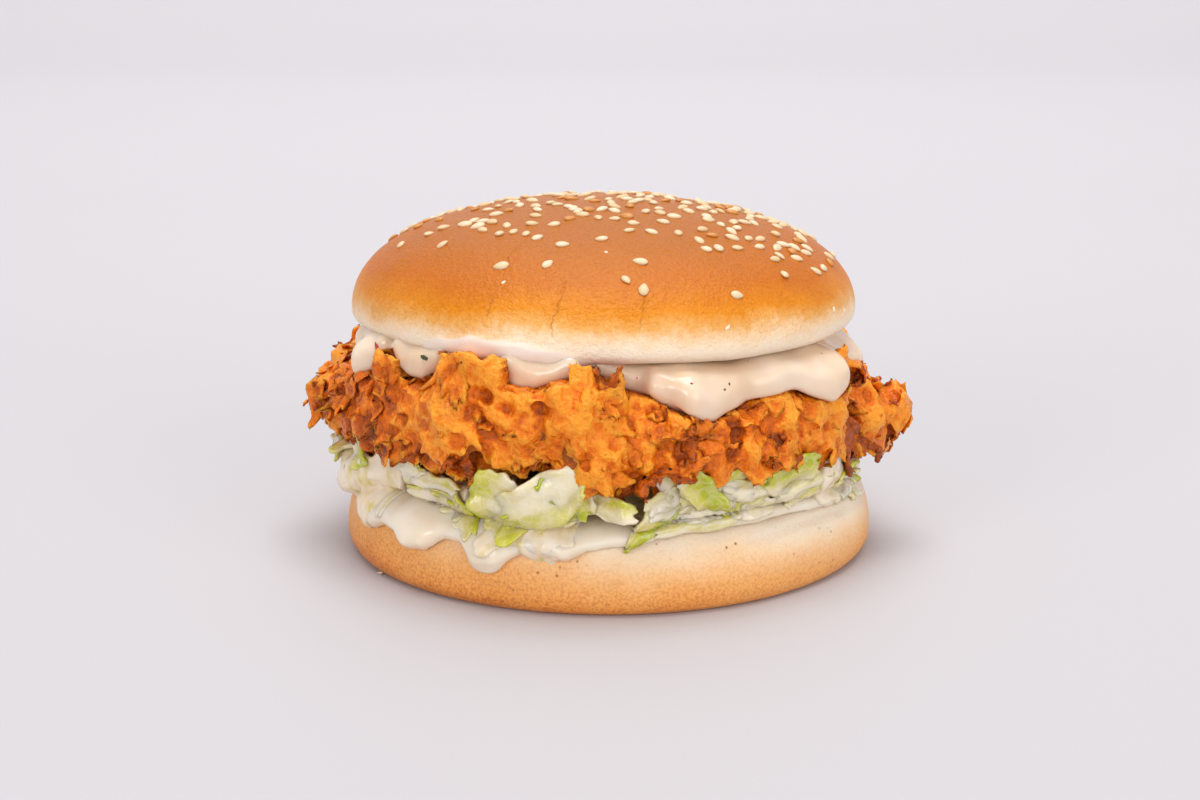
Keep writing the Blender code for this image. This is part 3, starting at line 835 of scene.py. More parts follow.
def add_plate(centre, normal, length, width, turn, tilt, cup, curl, thick, tone, frill, seed, under=None):
    """One plate of batter lying on the fillet. turn 0 hangs down, tilt lifts its lower end off the
    fillet, cup crowns it across, curl rolls its end outwards, or inwards below 0, and tone is how much
    lighter than the rest it has fried. It follows the surface under it, when one is given."""
    rng = np.random.default_rng(seed)
    angle = angle_of(centre)
    spacing = PLATE_SPACING * (1.0 if -190 < angle < 10 or angle > 170 else 1.8)
    spokes = max(13, round(math.pi * (length + width) / 2 / spacing))
    rings = max(3, round(0.42 * min(length, width) / spacing))
    way = np.linspace(0.0, 2 * math.pi, spokes, endpoint=False)[None, :]
    share = (np.arange(1, rings + 1) / rings)[:, None] ** 0.85
    edge = 1.0 + frill * (
        0.30 * scallops(way, int(rng.integers(2, 5)), rng)
        + 0.22 * scallops(way, min(int(rng.integers(5, 9)), spokes // 6), rng)
        + 0.17 * scallops(way, min(int(rng.integers(9, 15)), spokes // 5), rng)
    )
    edge = share * (1.0 + (edge - 1.0) * share)
    x = edge * np.sin(way) * width / 2
    y = edge * np.cos(way) * length / 2
    x = np.concatenate([[0.0], x.ravel()])
    y = np.concatenate([[0.0], y.ravel()])
    rim = np.concatenate([[0.0], (share + 0.0 * way).ravel()])
    x += 0.10 * width * relief(x, y, 0.0060, rng) + 0.0004 * relief(x, y, 0.0016, rng)
    y += 0.10 * length * relief(x, y, 0.0060, rng) + 0.0004 * relief(x, y, 0.0016, rng)
    z = tilt * y + curl * np.maximum(0.0, y / length + 0.1) ** 2 * length * 2.0
    z += cup * (1.0 - (2 * x / width) ** 2) * width / 2
    size = min(1.0, min(length, width) / 0.009)
    z += 0.0019 * size * relief(x, y, 0.0060, rng) + 0.0007 * size * np.abs(relief(x, y, 0.0034, rng))
    z += 0.0006 * size * relief(x, y, 0.0020, rng) + 0.00026 * relief(x, y, 0.0010, rng)
    half = 0.5 * thick * np.sqrt(np.maximum(0.0, 1.0 - rim**3))
    down = Vector((0.0, 0.0, -1.0))
    down -= normal * down.dot(normal)
    if down.length < 0.15:
        down = Vector((centre.x, centre.y, 0.0)) * math.copysign(1.0, normal.z)
        down -= normal * down.dot(normal)
    down.normalize()
    across = normal.cross(down)
    swing = math.radians(turn)
    hang = np.array(down * math.cos(swing) + across * math.sin(swing))
    side = np.array(across * math.cos(swing) - down * math.sin(swing))
    sheet = np.array(centre) + x[:, None] * side + y[:, None] * hang
    if under is not None:
        for number, spot in enumerate(sheet):
            distance = under.ray_cast(Vector(spot) + normal * 0.005, -normal, 0.009)[3]
            z[number] += 0.9 * (0.005 - distance) if distance is not None else -0.002
    front = sheet + (z + half)[:, None] * np.array(normal)
    back = sheet + (z - half)[:, None] * np.array(normal)
    points = held_in(np.concatenate([front, back[:-spokes]]), angle, centre.z)
    if centre.z > 0.038:
        points = under_sauce(points, normal)
    start = sum(len(made) for made in shell_points)
    following = np.roll(np.arange(spokes), -1)
    for turned_over in (False, True):
        number = np.arange(1, rings * spokes + 1).reshape(rings, spokes)
        middle = 0
        if turned_over:
            number[:-1] += len(sheet)
            middle = len(sheet)
        fan = np.stack([np.full(spokes, middle), number[0], number[0][following]], axis=-1)
        inner, outer = number[:-1], number[1:]
        quads = np.stack([inner, outer, outer[:, following], inner[:, following]], axis=-1).reshape(-1, 4)
        if turned_over:
            fan, quads = fan[:, ::-1], quads[:, ::-1]
        shell_faces.extend((fan + start).tolist())
        shell_faces.extend((quads + start).tolist())
    shell_points.append(points)
    shell_rims.append(np.concatenate([rim, rim[:-spokes]]))
    shell_tones.append(np.full(len(points), tone))


def shells_made(name):
    """The plates laid so far, as one piece, with how near each point is to its plate's rim."""
    mesh = bpy.data.meshes.new(name)
    mesh.from_pydata(np.concatenate(shell_points).tolist(), [], shell_faces)
    piece = bpy.data.objects.new(name, mesh)
    store(piece, "rim", np.concatenate(shell_rims))
    store(piece, "tone", np.concatenate(shell_tones))
    bpy.context.scene.collection.objects.link(piece)
    bpy.context.view_layer.objects.active = piece
    bpy.ops.object.mode_set(mode="EDIT")
    bpy.ops.mesh.select_all(action="SELECT")
    bpy.ops.mesh.normals_make_consistent(inside=False)
    bpy.ops.object.mode_set(mode="OBJECT")
    for made in (shell_points, shell_faces, shell_rims, shell_tones):
        made.clear()
    return piece


# What chance gives a plate of the coat and a loose flake: length and width as shares of its size, the
# spread of its turn, tilt, cup, curl, thickness, tone and frill.
COAT_PLATE = (
    (0.8, 1.35), (0.60, 1.1), 30.0, (0.02, 0.26), (0.05, 0.50), (-0.10, 0.20), (0.0010, 0.0016),
    (-0.22, 0.06), (0.6, 1.3)
)
LOOSE_FLAKE = (
    (0.9, 1.5), (0.55, 1.0), 45.0, (0.08, 0.36), (0.00, 0.20), (-0.05, 0.25), (0.0007, 0.0011),
    (-0.26, -0.04), (0.8, 1.4)
)


def chance_plate(rng, centre, normal, size, kind, seed, close=False, under=None):
    """Lays a plate of this kind and about this size. A close one lies flat on the fillet."""
    length, width, spread, tilt, cup, curl, thick, tone, frill = kind
    add_plate(
        centre, normal, size * rng.uniform(*length), size * rng.uniform(*width),
        turn=rng.gauss(0.0, spread), tilt=0.04 if close else rng.uniform(*tilt), cup=rng.uniform(*cup),
        curl=0.0 if close else rng.uniform(*curl), thick=rng.uniform(*thick), tone=rng.uniform(*tone),
        frill=rng.uniform(*frill), seed=seed, under=under
    )


def crowded(centre, size, laid, apart):
    """Whether a plate would lie too near to one of those laid before it."""
    return any((centre - other).length < apart * (size + other_size) for other, other_size in laid)


def scatter_plates(tries, sizes, apart, depth, seed, beside=()):
    """Plates all round the fillet, none nearer to another, or to these beside it, than this share of its
    own size. Those that touch the sauce are small and lie close."""
    rng = random.Random(seed)
    low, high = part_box("chicken_fillet")
    laid = [(seen_from(angle, height, fillet_surface)[0], size) for angle, height, size, *_ in beside]
    for number in range(tries):
        angle, height = rng.uniform(0.0, 360.0), rng.uniform(low.z + 0.002, high.z - 0.0005)
        skin, skin_normal = seen_from(angle, height, fillet_surface)
        lobe, lobe_normal = seen_from(angle, height, lobe_surface)
        if skin is None or lobe is None or skin.xy.length < FILLET_EDGE or skin_normal.z < -0.75:
            continue
        if any(first < angle - 360.0 < last and height < top for first, last, top in BARE_STRETCHES):
            continue
        centre = skin.lerp(lobe, depth)
        normal = (lobe_normal + skin_normal * 1.6).normalized()
        size = rng.choice(sizes) * rng.uniform(0.85, 1.15)
        covered = sauce_surface.ray_cast(skin + skin_normal * 0.0001, skin_normal, 0.006)[0] is not None
        if covered:
            size = min(size, 0.007)
            centre = centre - normal * 0.0014
        if crowded(centre, size, laid, apart):
            continue
        laid.append((centre, size))
        chance_plate(rng, centre, normal, size, COAT_PLATE, seed * 10000 + number, close=covered)


# The plates that give the front its look, from left to right: angle and height of the middle, length,
# width, turn, tilt, cup, curl, thickness and tone.
FRONT_PLATES = (
    (-172, 0.0400, 0.0100, 0.0065, -25, 0.30, 0.20, 0.10, 0.0013, 0.05),
    (-177, 0.0345, 0.0075, 0.0040, -35, 0.55, 0.20, -0.60, 0.0013, 0.10),
    (-163, 0.0395, 0.0110, 0.0090, -10, 0.20, 0.30, 0.05, 0.0013, -0.05),
    (-160, 0.0330, 0.0100, 0.0090, 10, 0.12, 0.30, 0.00, 0.0012, -0.20),
    (-151, 0.0435, 0.0085, 0.0090, 0, 0.10, 0.35, 0.00, 0.0014, -0.05),
    (-151, 0.0370, 0.0120, 0.0090, 0, 0.20, 0.25, 0.05, 0.0012, -0.20),
    (-153, 0.0300, 0.0080, 0.0080, 10, 0.10, 0.20, 0.00, 0.0013, -0.10),
    (-141, 0.0355, 0.0110, 0.0080, -10, 0.20, 0.30, 0.00, 0.0012, -0.25),
    (-136, 0.0430, 0.0080, 0.0080, 20, 0.20, 0.30, 0.00, 0.0012, -0.10),
    (-133, 0.0345, 0.0090, 0.0080, -10, 0.25, 0.20, 0.10, 0.0012, -0.10),
    (-133, 0.0480, 0.0060, 0.0060, 0, 0.05, 0.30, 0.00, 0.0014, -0.05),
    (-128, 0.0450, 0.0105, 0.0115, -10, 0.32, 0.15, 0.15, 0.0011, 0.05),
    (-126, 0.0372, 0.0100, 0.0050, -10, 0.20, 0.35, 0.05, 0.0011, -0.15),
    (-123, 0.0360, 0.0100, 0.0050, 15, 0.20, 0.35, 0.05, 0.0011, -0.12),
    (-120, 0.0350, 0.0100, 0.0050, 38, 0.22, 0.35, 0.05, 0.0011, -0.12),
    (-121, 0.0435, 0.0095, 0.0042, 45, 0.15, 0.35, 0.05, 0.0012, -0.10),
    (-119, 0.0410, 0.0135, 0.0048, 45, 0.18, 0.35, 0.05, 0.0012, -0.08),
    (-116.5, 0.0385, 0.0150, 0.0048, 45, 0.18, 0.35, 0.05, 0.0012, -0.05),
    (-113.5, 0.0385, 0.0120, 0.0042, 40, 0.18, 0.35, 0.05, 0.0012, 0.00),
    (-120, 0.0482, 0.0070, 0.0070, 0, 0.05, 0.35, 0.00, 0.0014, -0.12),
    (-112, 0.0482, 0.0095, 0.0160, 0, 0.06, 0.35, 0.00, 0.0016, 0.05),
    (-115, 0.0455, 0.0100, 0.0115, 10, 0.06, 0.55, 0.00, 0.0018, 0.05),
    (-112, 0.0358, 0.0080, 0.0110, 10, 0.40, 0.15, 0.15, 0.0011, 0.12),
    (-116, 0.0305, 0.0085, 0.0060, -60, 0.10, 0.60, 0.70, 0.0013, 0.00),
    (-106, 0.0465, 0.0100, 0.0095, 5, 0.10, 0.30, 0.05, 0.0014, 0.08),
    (-106, 0.0400, 0.0130, 0.0085, 10, 0.16, 0.40, 0.05, 0.0015, 0.05),
    (-99, 0.0465, 0.0130, 0.0090, 0, 0.06, 0.30, 0.00, 0.0014, -0.12),
    (-101, 0.0385, 0.0080, 0.0080, 0, 0.10, 0.35, 0.00, 0.0014, -0.08),
    (-99.5, 0.0428, 0.0050, 0.0045, -20, 0.45, 0.15, 0.10, 0.0011, 0.12),
    (-93.5, 0.0485, 0.0080, 0.0060, 0, 0.05, 0.45, 0.00, 0.0018, 0.00),
    (-95.5, 0.0396, 0.0100, 0.0100, -10, 0.12, 0.45, 0.00, 0.0016, 0.00),
    (-90.5, 0.0398, 0.0100, 0.0090, 10, 0.12, 0.45, 0.00, 0.0016, 0.02),
    (-89, 0.0470, 0.0120, 0.0080, 5, 0.06, 0.45, 0.00, 0.0018, 0.08),
    (-94.5, 0.0316, 0.0090, 0.0090, 0, 0.15, 0.50, 0.00, 0.0016, -0.08),
    (-90.5, 0.0316, 0.0080, 0.0065, 10, 0.15, 0.50, 0.00, 0.0016, -0.10),
    (-82.5, 0.0470, 0.0135, 0.0048, 45, 0.08, 0.60, 0.00, 0.0022, 0.06),
    (-83, 0.0374, 0.0150, 0.0080, 0, 0.10, 0.60, 0.00, 0.0024, 0.08),
    (-80.5, 0.0405, 0.0080, 0.0032, 8, 0.20, 0.50, 0.00, 0.0018, 0.08),
    (-88.5, 0.0325, 0.0085, 0.0055, 0, 0.12, 0.50, 0.00, 0.0018, -0.15),
    (-75, 0.0452, 0.0052, 0.0085, 0, 0.20, 0.25, 0.10, 0.0013, 0.10),
    (-75.5, 0.0410, 0.0090, 0.0080, 10, 0.02, 0.30, 0.00, 0.0012, -0.30),
    (-74.5, 0.0352, 0.0120, 0.0108, 8, 0.12, 0.60, 0.00, 0.0022, 0.04),
    (-69.5, 0.0406, 0.0105, 0.0055, 10, 0.10, 0.40, 0.00, 0.0016, -0.10),
    (-65.5, 0.0437, 0.0095, 0.0070, 15, 0.15, 0.20, 0.05, 0.0016, 0.02),
    (-64, 0.0350, 0.0080, 0.0060, 20, 0.10, 0.40, 0.30, 0.0013, -0.20),
    (-58.5, 0.0350, 0.0160, 0.0078, 5, 0.12, 0.55, 0.00, 0.0020, 0.00),
    (-58, 0.0455, 0.0060, 0.0090, 0, 0.06, 0.35, 0.00, 0.0016, 0.05),
    (-50, 0.0395, 0.0120, 0.0140, -20, 0.06, 0.30, 0.00, 0.0018, 0.05),
    (-50, 0.0320, 0.0090, 0.0060, 10, 0.10, 0.40, 0.00, 0.0014, -0.10),
    (-40, 0.0320, 0.0080, 0.0150, 10, 0.10, 0.40, 0.00, 0.0018, -0.08),
    (-38.5, 0.0390, 0.0110, 0.0050, -50, 0.15, 0.45, 0.00, 0.0016, 0.05),
    (-35.5, 0.0420, 0.0110, 0.0050, -50, 0.15, 0.45, 0.00, 0.0016, 0.08),
    (-38, 0.0465, 0.0080, 0.0060, 0, 0.10, 0.35, 0.00, 0.0014, 0.00),
    (-24, 0.0410, 0.0100, 0.0100, 20, 0.15, 0.35, 0.00, 0.0016, 0.00),
    (-16, 0.0360, 0.0120, 0.0100, 0, 0.15, 0.40, 0.00, 0.0018, 0.05),
    (-21, 0.0285, 0.0085, 0.0040, 30, 0.45, 0.35, 0.00, 0.0018, 0.00),
    (-12, 0.0410, 0.0090, 0.0090, 0, 0.15, 0.35, 0.00, 0.0016, 0.00),
    (-8, 0.0320, 0.0100, 0.0090, -10, 0.15, 0.35, 0.00, 0.0016, -0.05),
    (16, 0.0435, 0.0080, 0.0050, 160, 0.10, 0.30, 0.00, 0.0016, 0.00),
    (24, 0.0445, 0.0080, 0.0050, 190, 0.20, 0.30, 0.00, 0.0016, 0.00),
)
# Plates that stand up in front of the sauce: angle, distance from the middle, height, length and width.
STANDING_PLATES = (
    (-145.0, 0.0580, 0.0482, 0.0075, 0.0064), (-141.5, 0.0585, 0.0487, 0.0070, 0.0060),
    (-124.0, 0.0585, 0.0513, 0.0075, 0.0085), (-120.5, 0.0590, 0.0523, 0.0070, 0.0085),
    (-117.0, 0.0600, 0.0520, 0.0080, 0.0095), (-113.8, 0.0600, 0.0514, 0.0075, 0.0080),
    (-111.5, 0.0600, 0.0495, 0.0075, 0.0070), (-95.2, 0.0595, 0.0508, 0.0085, 0.0085),
    (-26.5, 0.0618, 0.0460, 0.0110, 0.0050), (-23.5, 0.0628, 0.0440, 0.0100, 0.0060),
)

# First the coat of batter itself: plates and fillet fused into one craggy skin.
scatter_plates(2600, [0.014, 0.012, 0.010, 0.008], 0.25, 0.40, 7)
for number, plate in enumerate(FRONT_PLATES):
    centre, normal = seen_from(plate[0], plate[1], fillet_surface)
    add_plate(centre, normal, *plate[2:], 0.8, 1000 + number)
for number, (angle, distance, height, length, width) in enumerate(STANDING_PLATES):
    out = outward(angle)
    centre = distance * out + Vector((0.0, 0.0, height))
    add_plate(centre, out, length, width, 0.0, -0.05, 0.30, 0.0, 0.0018, 0.0, 0.8, 2000 + number)
scatter_plates(1500, [0.019, 0.016, 0.013, 0.009, 0.007], 0.42, 0.55, 9, FRONT_PLATES)
scatter_plates(400, [0.0050, 0.0042, 0.0034], 0.80, 0.60, 8, FRONT_PLATES)
coat = shells_made("batter_coat")


def tones_and_rim_highlight(mesh):
    """How light each point of the plates is: their own fried tone, and gold towards the rims, which is
    partly a painted highlight.
    """
    tones, rims = np.zeros(len(mesh.vertices)), np.zeros(len(mesh.vertices))
    mesh.attributes["tone"].data.foreach_get("value", tones)
    mesh.attributes["rim"].data.foreach_get("value", rims)
    return tones + (RIM_GOLD_AND_HIGHLIGHT * rims**3 - RIM_GOLD_AND_HIGHLIGHT / 3)


# The skin loses the plates' own tones, so it looks them up at the nearest point.
coat_tones = tones_and_rim_highlight(coat.data)
tone_tree = KDTree(len(coat.data.vertices))
for vertex in coat.data.vertices:
    tone_tree.insert(vertex.co, vertex.index)
tone_tree.balance()
join([crust, coat])
skin_over(crust, CRUST_VOXEL)
swell(crust, 0.0006)
skin_over(crust, CRUST_VOXEL)


def select_nothing(piece):
    """Leaves no point, edge or face of a piece selected."""
    for element in (*piece.data.vertices, *piece.data.edges, *piece.data.polygons):
        element.select = False


# Only the outer skin stays, without the walls of the gaps that it closed in.
select_nothing(crust)
max(crust.data.vertices, key=lambda vertex: vertex.co.xy.length).select = True
bpy.ops.object.mode_set(mode="EDIT")
bpy.ops.mesh.select_mode(type="VERT")
bpy.ops.mesh.select_linked()
bpy.ops.mesh.select_all(action="INVERT")
bpy.ops.mesh.delete(type="VERT")
bpy.ops.object.mode_set(mode="OBJECT")
swell(crust, -0.0005)
roughen(crust, 0.0120, -0.0018, level=0.36, kind="VORONOI")
roughen(crust, 0.0060, -0.0014, level=0.42)
roughen(crust, 0.0022, 0.0007)
roughen(crust, 0.0010, 0.0004)

# The skin is pressed in towards the middle where it would cover the sauce that hangs over it.
for vertex in crust.data.vertices:
    place = vertex.co
    if place.z < 0.040 or place.xy.length < FILLET_EDGE or stands_in_front(place):
        continue
    inward = -Vector((place.x, place.y, 0.0)).normalized()
    distance = sauce_surface.ray_cast(place, inward, 0.0060)[3]
    if distance is not None:
        vertex.co = place + inward * (distance + 0.0008)

# Inside the burger, where nothing shows, the skin needs few faces.
hidden = crust.vertex_groups.new(name="hidden")
middle = [vertex.index for vertex in crust.data.vertices if vertex.co.xy.length < CRUST_CORE]
hidden.add(middle, 1.0, "REPLACE")
apply_modifier(crust, "DECIMATE", ratio=0.5, vertex_group="hidden")
crust_triangles = sum(len(face.vertices) - 2 for face in crust.data.polygons)
apply_modifier(crust, "DECIMATE", ratio=min(1.0, CRUST_TRIANGLES / crust_triangles))
crust.data.shade_smooth()


def proud_of_smoothed(piece, rounds):
    """How far each point stands out of the surface smoothed over this many rounds, in metres."""
    mesh = piece.data
    count = len(mesh.vertices)
    points, normals = np.zeros(count * 3), np.zeros(count * 3)
    mesh.vertices.foreach_get("co", points)
    mesh.vertices.foreach_get("normal", normals)
    ends = np.zeros(len(mesh.edges) * 2, np.int32)
    mesh.edges.foreach_get("vertices", ends)
    near = np.bincount(ends, minlength=count)
    smooth = points.reshape(-1, 3).copy()
    for _ in range(rounds):
        for axis in range(3):
            total = np.bincount(ends[::2], smooth[ends[1::2], axis], count)
            total += np.bincount(ends[1::2], smooth[ends[::2], axis], count)
            smooth[:, axis] = total / near
    return ((points.reshape(-1, 3) - smooth) * normals.reshape(-1, 3)).sum(axis=1)


# Last the thin flakes that fried on to the outside: they follow it, and their ragged lower rims lift.
outside = surface_of(crust)
rng = random.Random(12)
laid = []
for number in range(FLAKE_TRIES):
    angle, height = rng.uniform(-180.0, 180.0), rng.uniform(*FLAKE_HEIGHTS)
    spot, normal = seen_from(angle, height, outside)
    smooth_normal = seen_from(angle, height, fillet_surface)[1]
    sauce_spot = seen_from(angle, height, sauce_surface)[0]
    size = rng.choice(FLAKE_SIZES) * rng.uniform(0.85, 1.15)
    if spot is None or smooth_normal is None or spot.xy.length < FILLET_EDGE:
        continue
    if sauce_spot is not None and sauce_spot.xy.length > spot.xy.length - 0.0007:
        continue
    if crowded(spot, size, laid, FLAKES_APART):
        continue
    laid.append((spot, size))
    lies = (normal * 0.4 + smooth_normal).normalized()
    chance_plate(rng, spot, lies, size, LOOSE_FLAKE, 120000 + number, under=outside)
flakes = shells_made("batter_flakes")
flakes.data.shade_smooth()


def mark_browning_and_shade(piece, surroundings):
    """Stores how light each point is coloured, 0 deep in a hollow, 1 on a knob that fries dark gold: the
    fried tones, painted shade where rays from the point are soon blocked or where it lies sunk, and painted
    highlight where it stands proud.
    """
    mesh = piece.data
    openness_to_light = np.ones(len(mesh.vertices))
    # Points proud of the smoothed surface are coloured lighter and sunk ones darker: painted highlight on
    # the knobs, painted shade in the dips.
    proud = np.clip(proud_of_smoothed(piece, 12) / 0.0005, -1.0, 1.0)
    if piece == crust:
        tone = coat_tones[[tone_tree.find(vertex.co)[1] for vertex in mesh.vertices]]
        proud += 0.5 + np.clip(proud_of_smoothed(piece, 90) / 0.0020, -0.5, 0.5)
    else:
        tone = tones_and_rim_highlight(mesh)
    # Rays cast out from each point: the more of them are blocked, the darker its colour, as painted shade in
    # the hollows.
    leans = [Vector((math.cos(turn), math.sin(turn), 0.0)) for turn in (0.3, 1.57, 2.9, 4.1, 5.3)]
    for vertex in mesh.vertices:
        if vertex.co.xy.length < CRUST_CORE:
            continue
        normal = vertex.normal
        side = normal.orthogonal().normalized()
        other = normal.cross(side)
        start = vertex.co + normal * 0.0002
        free = 0.0
        for lean in leans:
            way = (normal * 0.75 + side * lean.x + other * lean.y).normalized()
            distance = surroundings.ray_cast(start, way, OPEN_REACH)[3]
            free += 1.0 if distance is None else distance / OPEN_REACH
        openness_to_light[vertex.index] = free / len(leans)
    # The darker stretches: partly browner frying, partly painted shade.
    around = np.array([angle_of(vertex.co) for vertex in mesh.vertices])
    for angle, spread, darker in DARK_STRETCHES:
        tone -= darker * np.exp(-(((around - angle) / spread) ** 2))
    store(piece, "browning_and_painted_shade", np.clip(0.84 * openness_to_light + 0.28 * proud + tone + 0.05, 0.10, 1.2))


# Seasoned flour batter out of hot oil: paprika gold on the thin rims, partly a painted highlight, rust brown
# in the hollows, partly painted shade, and a thin film of oil that catches the light.
crust_finish = new_finish(
    "fried_batter", Roughness=0.26, Specular_Tint=(1.0, 0.72, 0.40, 1.0), Coat_Weight=0.08,
    Coat_Roughness=0.16, Subsurface_Weight=0.35, Subsurface_Radius=(1.0, 0.35, 0.10), Subsurface_Scale=0.002
)
place = add_node(crust_finish, "TexCoord", out="Object")
browning_and_painted_shade = add_node(crust_finish, "Attribute", out="Fac", attribute_name="browning_and_painted_shade")
# Browning varies over patches of a centimetre, and the grit of the flour over half a millimetre. The grit
# and the knobs lighten the colour where the bump stands high and darken it in the pits: partly pale flour,
# partly painted highlight and painted shade.
_, mixed = stirred_in(crust_finish, place, browning_and_painted_shade, 110.0, 3.0, 0.90)
grit, mixed = stirred_in(crust_finish, place, mixed, 1500.0, 3.0, 0.60)
knobs, mixed = stirred_in(crust_finish, place, mixed, 700.0, 2.0, 0.90)
mixed = add_node(crust_finish, "Math", {0: mixed, 1: 0.50, 2: -0.24}, operation="MULTIPLY_ADD")
# The ramp turns the stored browning and painted shade into colour: rust in the shaded hollows, gold on the
# lit knobs.
browned_and_shaded = add_node(
    crust_finish, "ValToRGB", {"Fac": mixed},
    [(0.26, "7c3c22"), (0.42, "a84810"), (0.58, "cf5e06"), (0.74, "ec7408"), (0.98, "fda02c")]
)
knobs = add_node(crust_finish, "Math", {0: knobs, 1: 1.6, 2: grit}, operation="MULTIPLY_ADD")
bump = add_node(crust_finish, "Bump", {"Height": knobs, "Strength": 1.0, "Distance": 0.00055})
wire(crust_finish, Base_Color=browned_and_shaded, Normal=bump)
batter = surface_of(crust, flakes)
for piece in (crust, flakes):
    mark_browning_and_shade(piece, batter)
    shown_as(piece, crust_finish, "chicken_fillet")

# ---------------------------------------------------------------------------------------------------
# Crown: the bun's domed upper half. The same soft roll, browned from above, so its top is tan, its
# shoulder gold and its lower edge still white. The skin has split in a few hairline cracks.

CROWN_SQUARENESS = 2.25
CROWN_LIP = 0.0066
CROWN_TILT = 0.8
CROWN_FACE = 0.0516
CROWN_WIDEST = 0.0550
CROWN_HEIGHT = 0.0780
CROWN_TOP_LEAN = (-0.0006, 0.0010)


def crown_outline(widest_radius):
    """Radius and height from the middle of the cut face, round the lip, up to the top of the dome."""
    flat = widest_radius - CROWN_LIP
    outline = [(flat * share, CROWN_FACE) for share in (0.03, 0.3, 0.55, 0.75, 0.88, 0.95, 1.0)]
    for turn in range(-80, 1, 10):
        out, down = math.cos(math.radians(turn)), math.sin(math.radians(turn))
        outline.append((flat + CROWN_LIP * out, CROWN_WIDEST + (CROWN_WIDEST - CROWN_FACE) * down))
    for step in range(1, 75):
        turn = 88.8 * step / 74
        out, up = rounded(turn, CROWN_SQUARENESS)
        outline.append((widest_radius * out, CROWN_WIDEST + (CROWN_HEIGHT - CROWN_WIDEST) * up))
    return outline


crown_low, crown_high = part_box("bun_crown")
crown_centre = middle_of("bun_crown")
crown = turned("crown", crown_centre, crown_outline((crown_high.x - crown_low.x) / 2))
for vertex in crown.data.vertices:
    share = held((vertex.co.z - CROWN_WIDEST) / (CROWN_HEIGHT - CROWN_WIDEST))
    vertex.co += Vector((*CROWN_TOP_LEAN, 0.0)) * share * share * (3.0 - 2.0 * share)
crown_pivot = Vector((crown_centre.x, crown_centre.y, CROWN_FACE))
tip = Matrix.Translation(crown_pivot) @ Matrix.Rotation(math.radians(-CROWN_TILT), 4, "X")
crown.data.transform(tip @ Matrix.Translation(-crown_pivot))
roughen(crown, 0.034, 0.0012)
roughen(crown, 0.010, 0.00028)
roughen(crown, 0.0032, 0.00008)

# Cracks in the skin: the angle and height where each starts and ends, and its half width.
CRACKS = (
    ((-122.0, 0.0748), (-117.5, 0.0690), 0.00016),
    ((-117.5, 0.0690), (-117.0, 0.0618), 0.00013),
    ((-100.5, 0.0692), (-102.0, 0.0590), 0.00015),
    ((-81.0, 0.0672), (-83.0, 0.0600), 0.00012),
    ((-69.5, 0.0735), (-66.5, 0.0732), 0.00014),
)
CRACK_DEPTH = 0.0004
CRACK_POINTS = 31
CRACK_REACH = 0.0018


def crack_lines(surface):
    """The points of each crack on the crown's skin, wandering a little from side to side."""
    lines = []
    for number, (start, end, half_width) in enumerate(CRACKS):
        line = []
        for step in range(CRACK_POINTS):
            share = step / (CRACK_POINTS - 1)
            wander = 0.7 * wobble(share * 4.0, number * 5.3, 0.0)
            wander += 0.5 * wobble(share * 12.0, number * 5.3, 4.0)
            ends_meet = math.sin(math.pi * min(1.0, share * 3.0) / 2) if number != 1 else 1.0
            angle = start[0] + (end[0] - start[0]) * share + wander * ends_meet
            height = start[1] + (end[1] - start[1]) * share
            line.append(seen_from(angle, height, surface)[0])
        lines.append((line, half_width))
    return lines


def distance_to(line, spot):
    """The shortest way from a spot to a line of points, and how far along the line that is."""
    best = (1.0, 0.0)
    for number, (a, b) in enumerate(zip(line, line[1:])):
        share = held((spot - a).dot(b - a) / (b - a).length_squared)
        best = min(best, ((spot - a.lerp(b, share)).length, (number + share) / (len(line) - 1)))
    return best


lines = crack_lines(surface_of(crown))
bpy.ops.object.select_all(action="DESELECT")
bpy.context.view_layer.objects.active = crown
crown.select_set(True)
near = [face for face in crown.data.polygons if face.center.y < -0.02 and face.center.z > 0.058]
near = [
    face for face in near
    if any(distance_to(line, face.center)[0] < CRACK_REACH + 0.0004 for line, _ in lines)
]
select_nothing(crown)
for face in near:
    face.select = True
    for corner in face.vertices:
        crown.data.vertices[corner].select = True
bpy.ops.object.mode_set(mode="EDIT")
bpy.ops.mesh.select_mode(type="FACE")
bpy.ops.mesh.subdivide(number_cuts=7)
bpy.ops.object.mode_set(mode="OBJECT")
crack_tone = np.zeros(len(crown.data.vertices), np.float32)
moved = []
for vertex in crown.data.vertices:
    if not vertex.select:
        continue
    for line, half_width in lines:
        away, share = distance_to(line, vertex.co)
        if away > CRACK_REACH:
            continue
        fade = math.sin(math.pi * held(0.08 + 0.92 * share)) ** 0.5
        fade *= 0.75 + 0.5 * noise.noise(vertex.co * 900.0)
        cut = math.exp(-((away / half_width) ** 2)) * fade
        lip = 0.12 * math.exp(-(((away - 2.6 * half_width) / (1.6 * half_width)) ** 2)) * fade
        moved.append((vertex.index, vertex.normal.copy() * CRACK_DEPTH * (lip - cut)))
        crack_tone[vertex.index] = max(crack_tone[vertex.index], cut)
for index, shift in moved:
    crown.data.vertices[index].co += shift
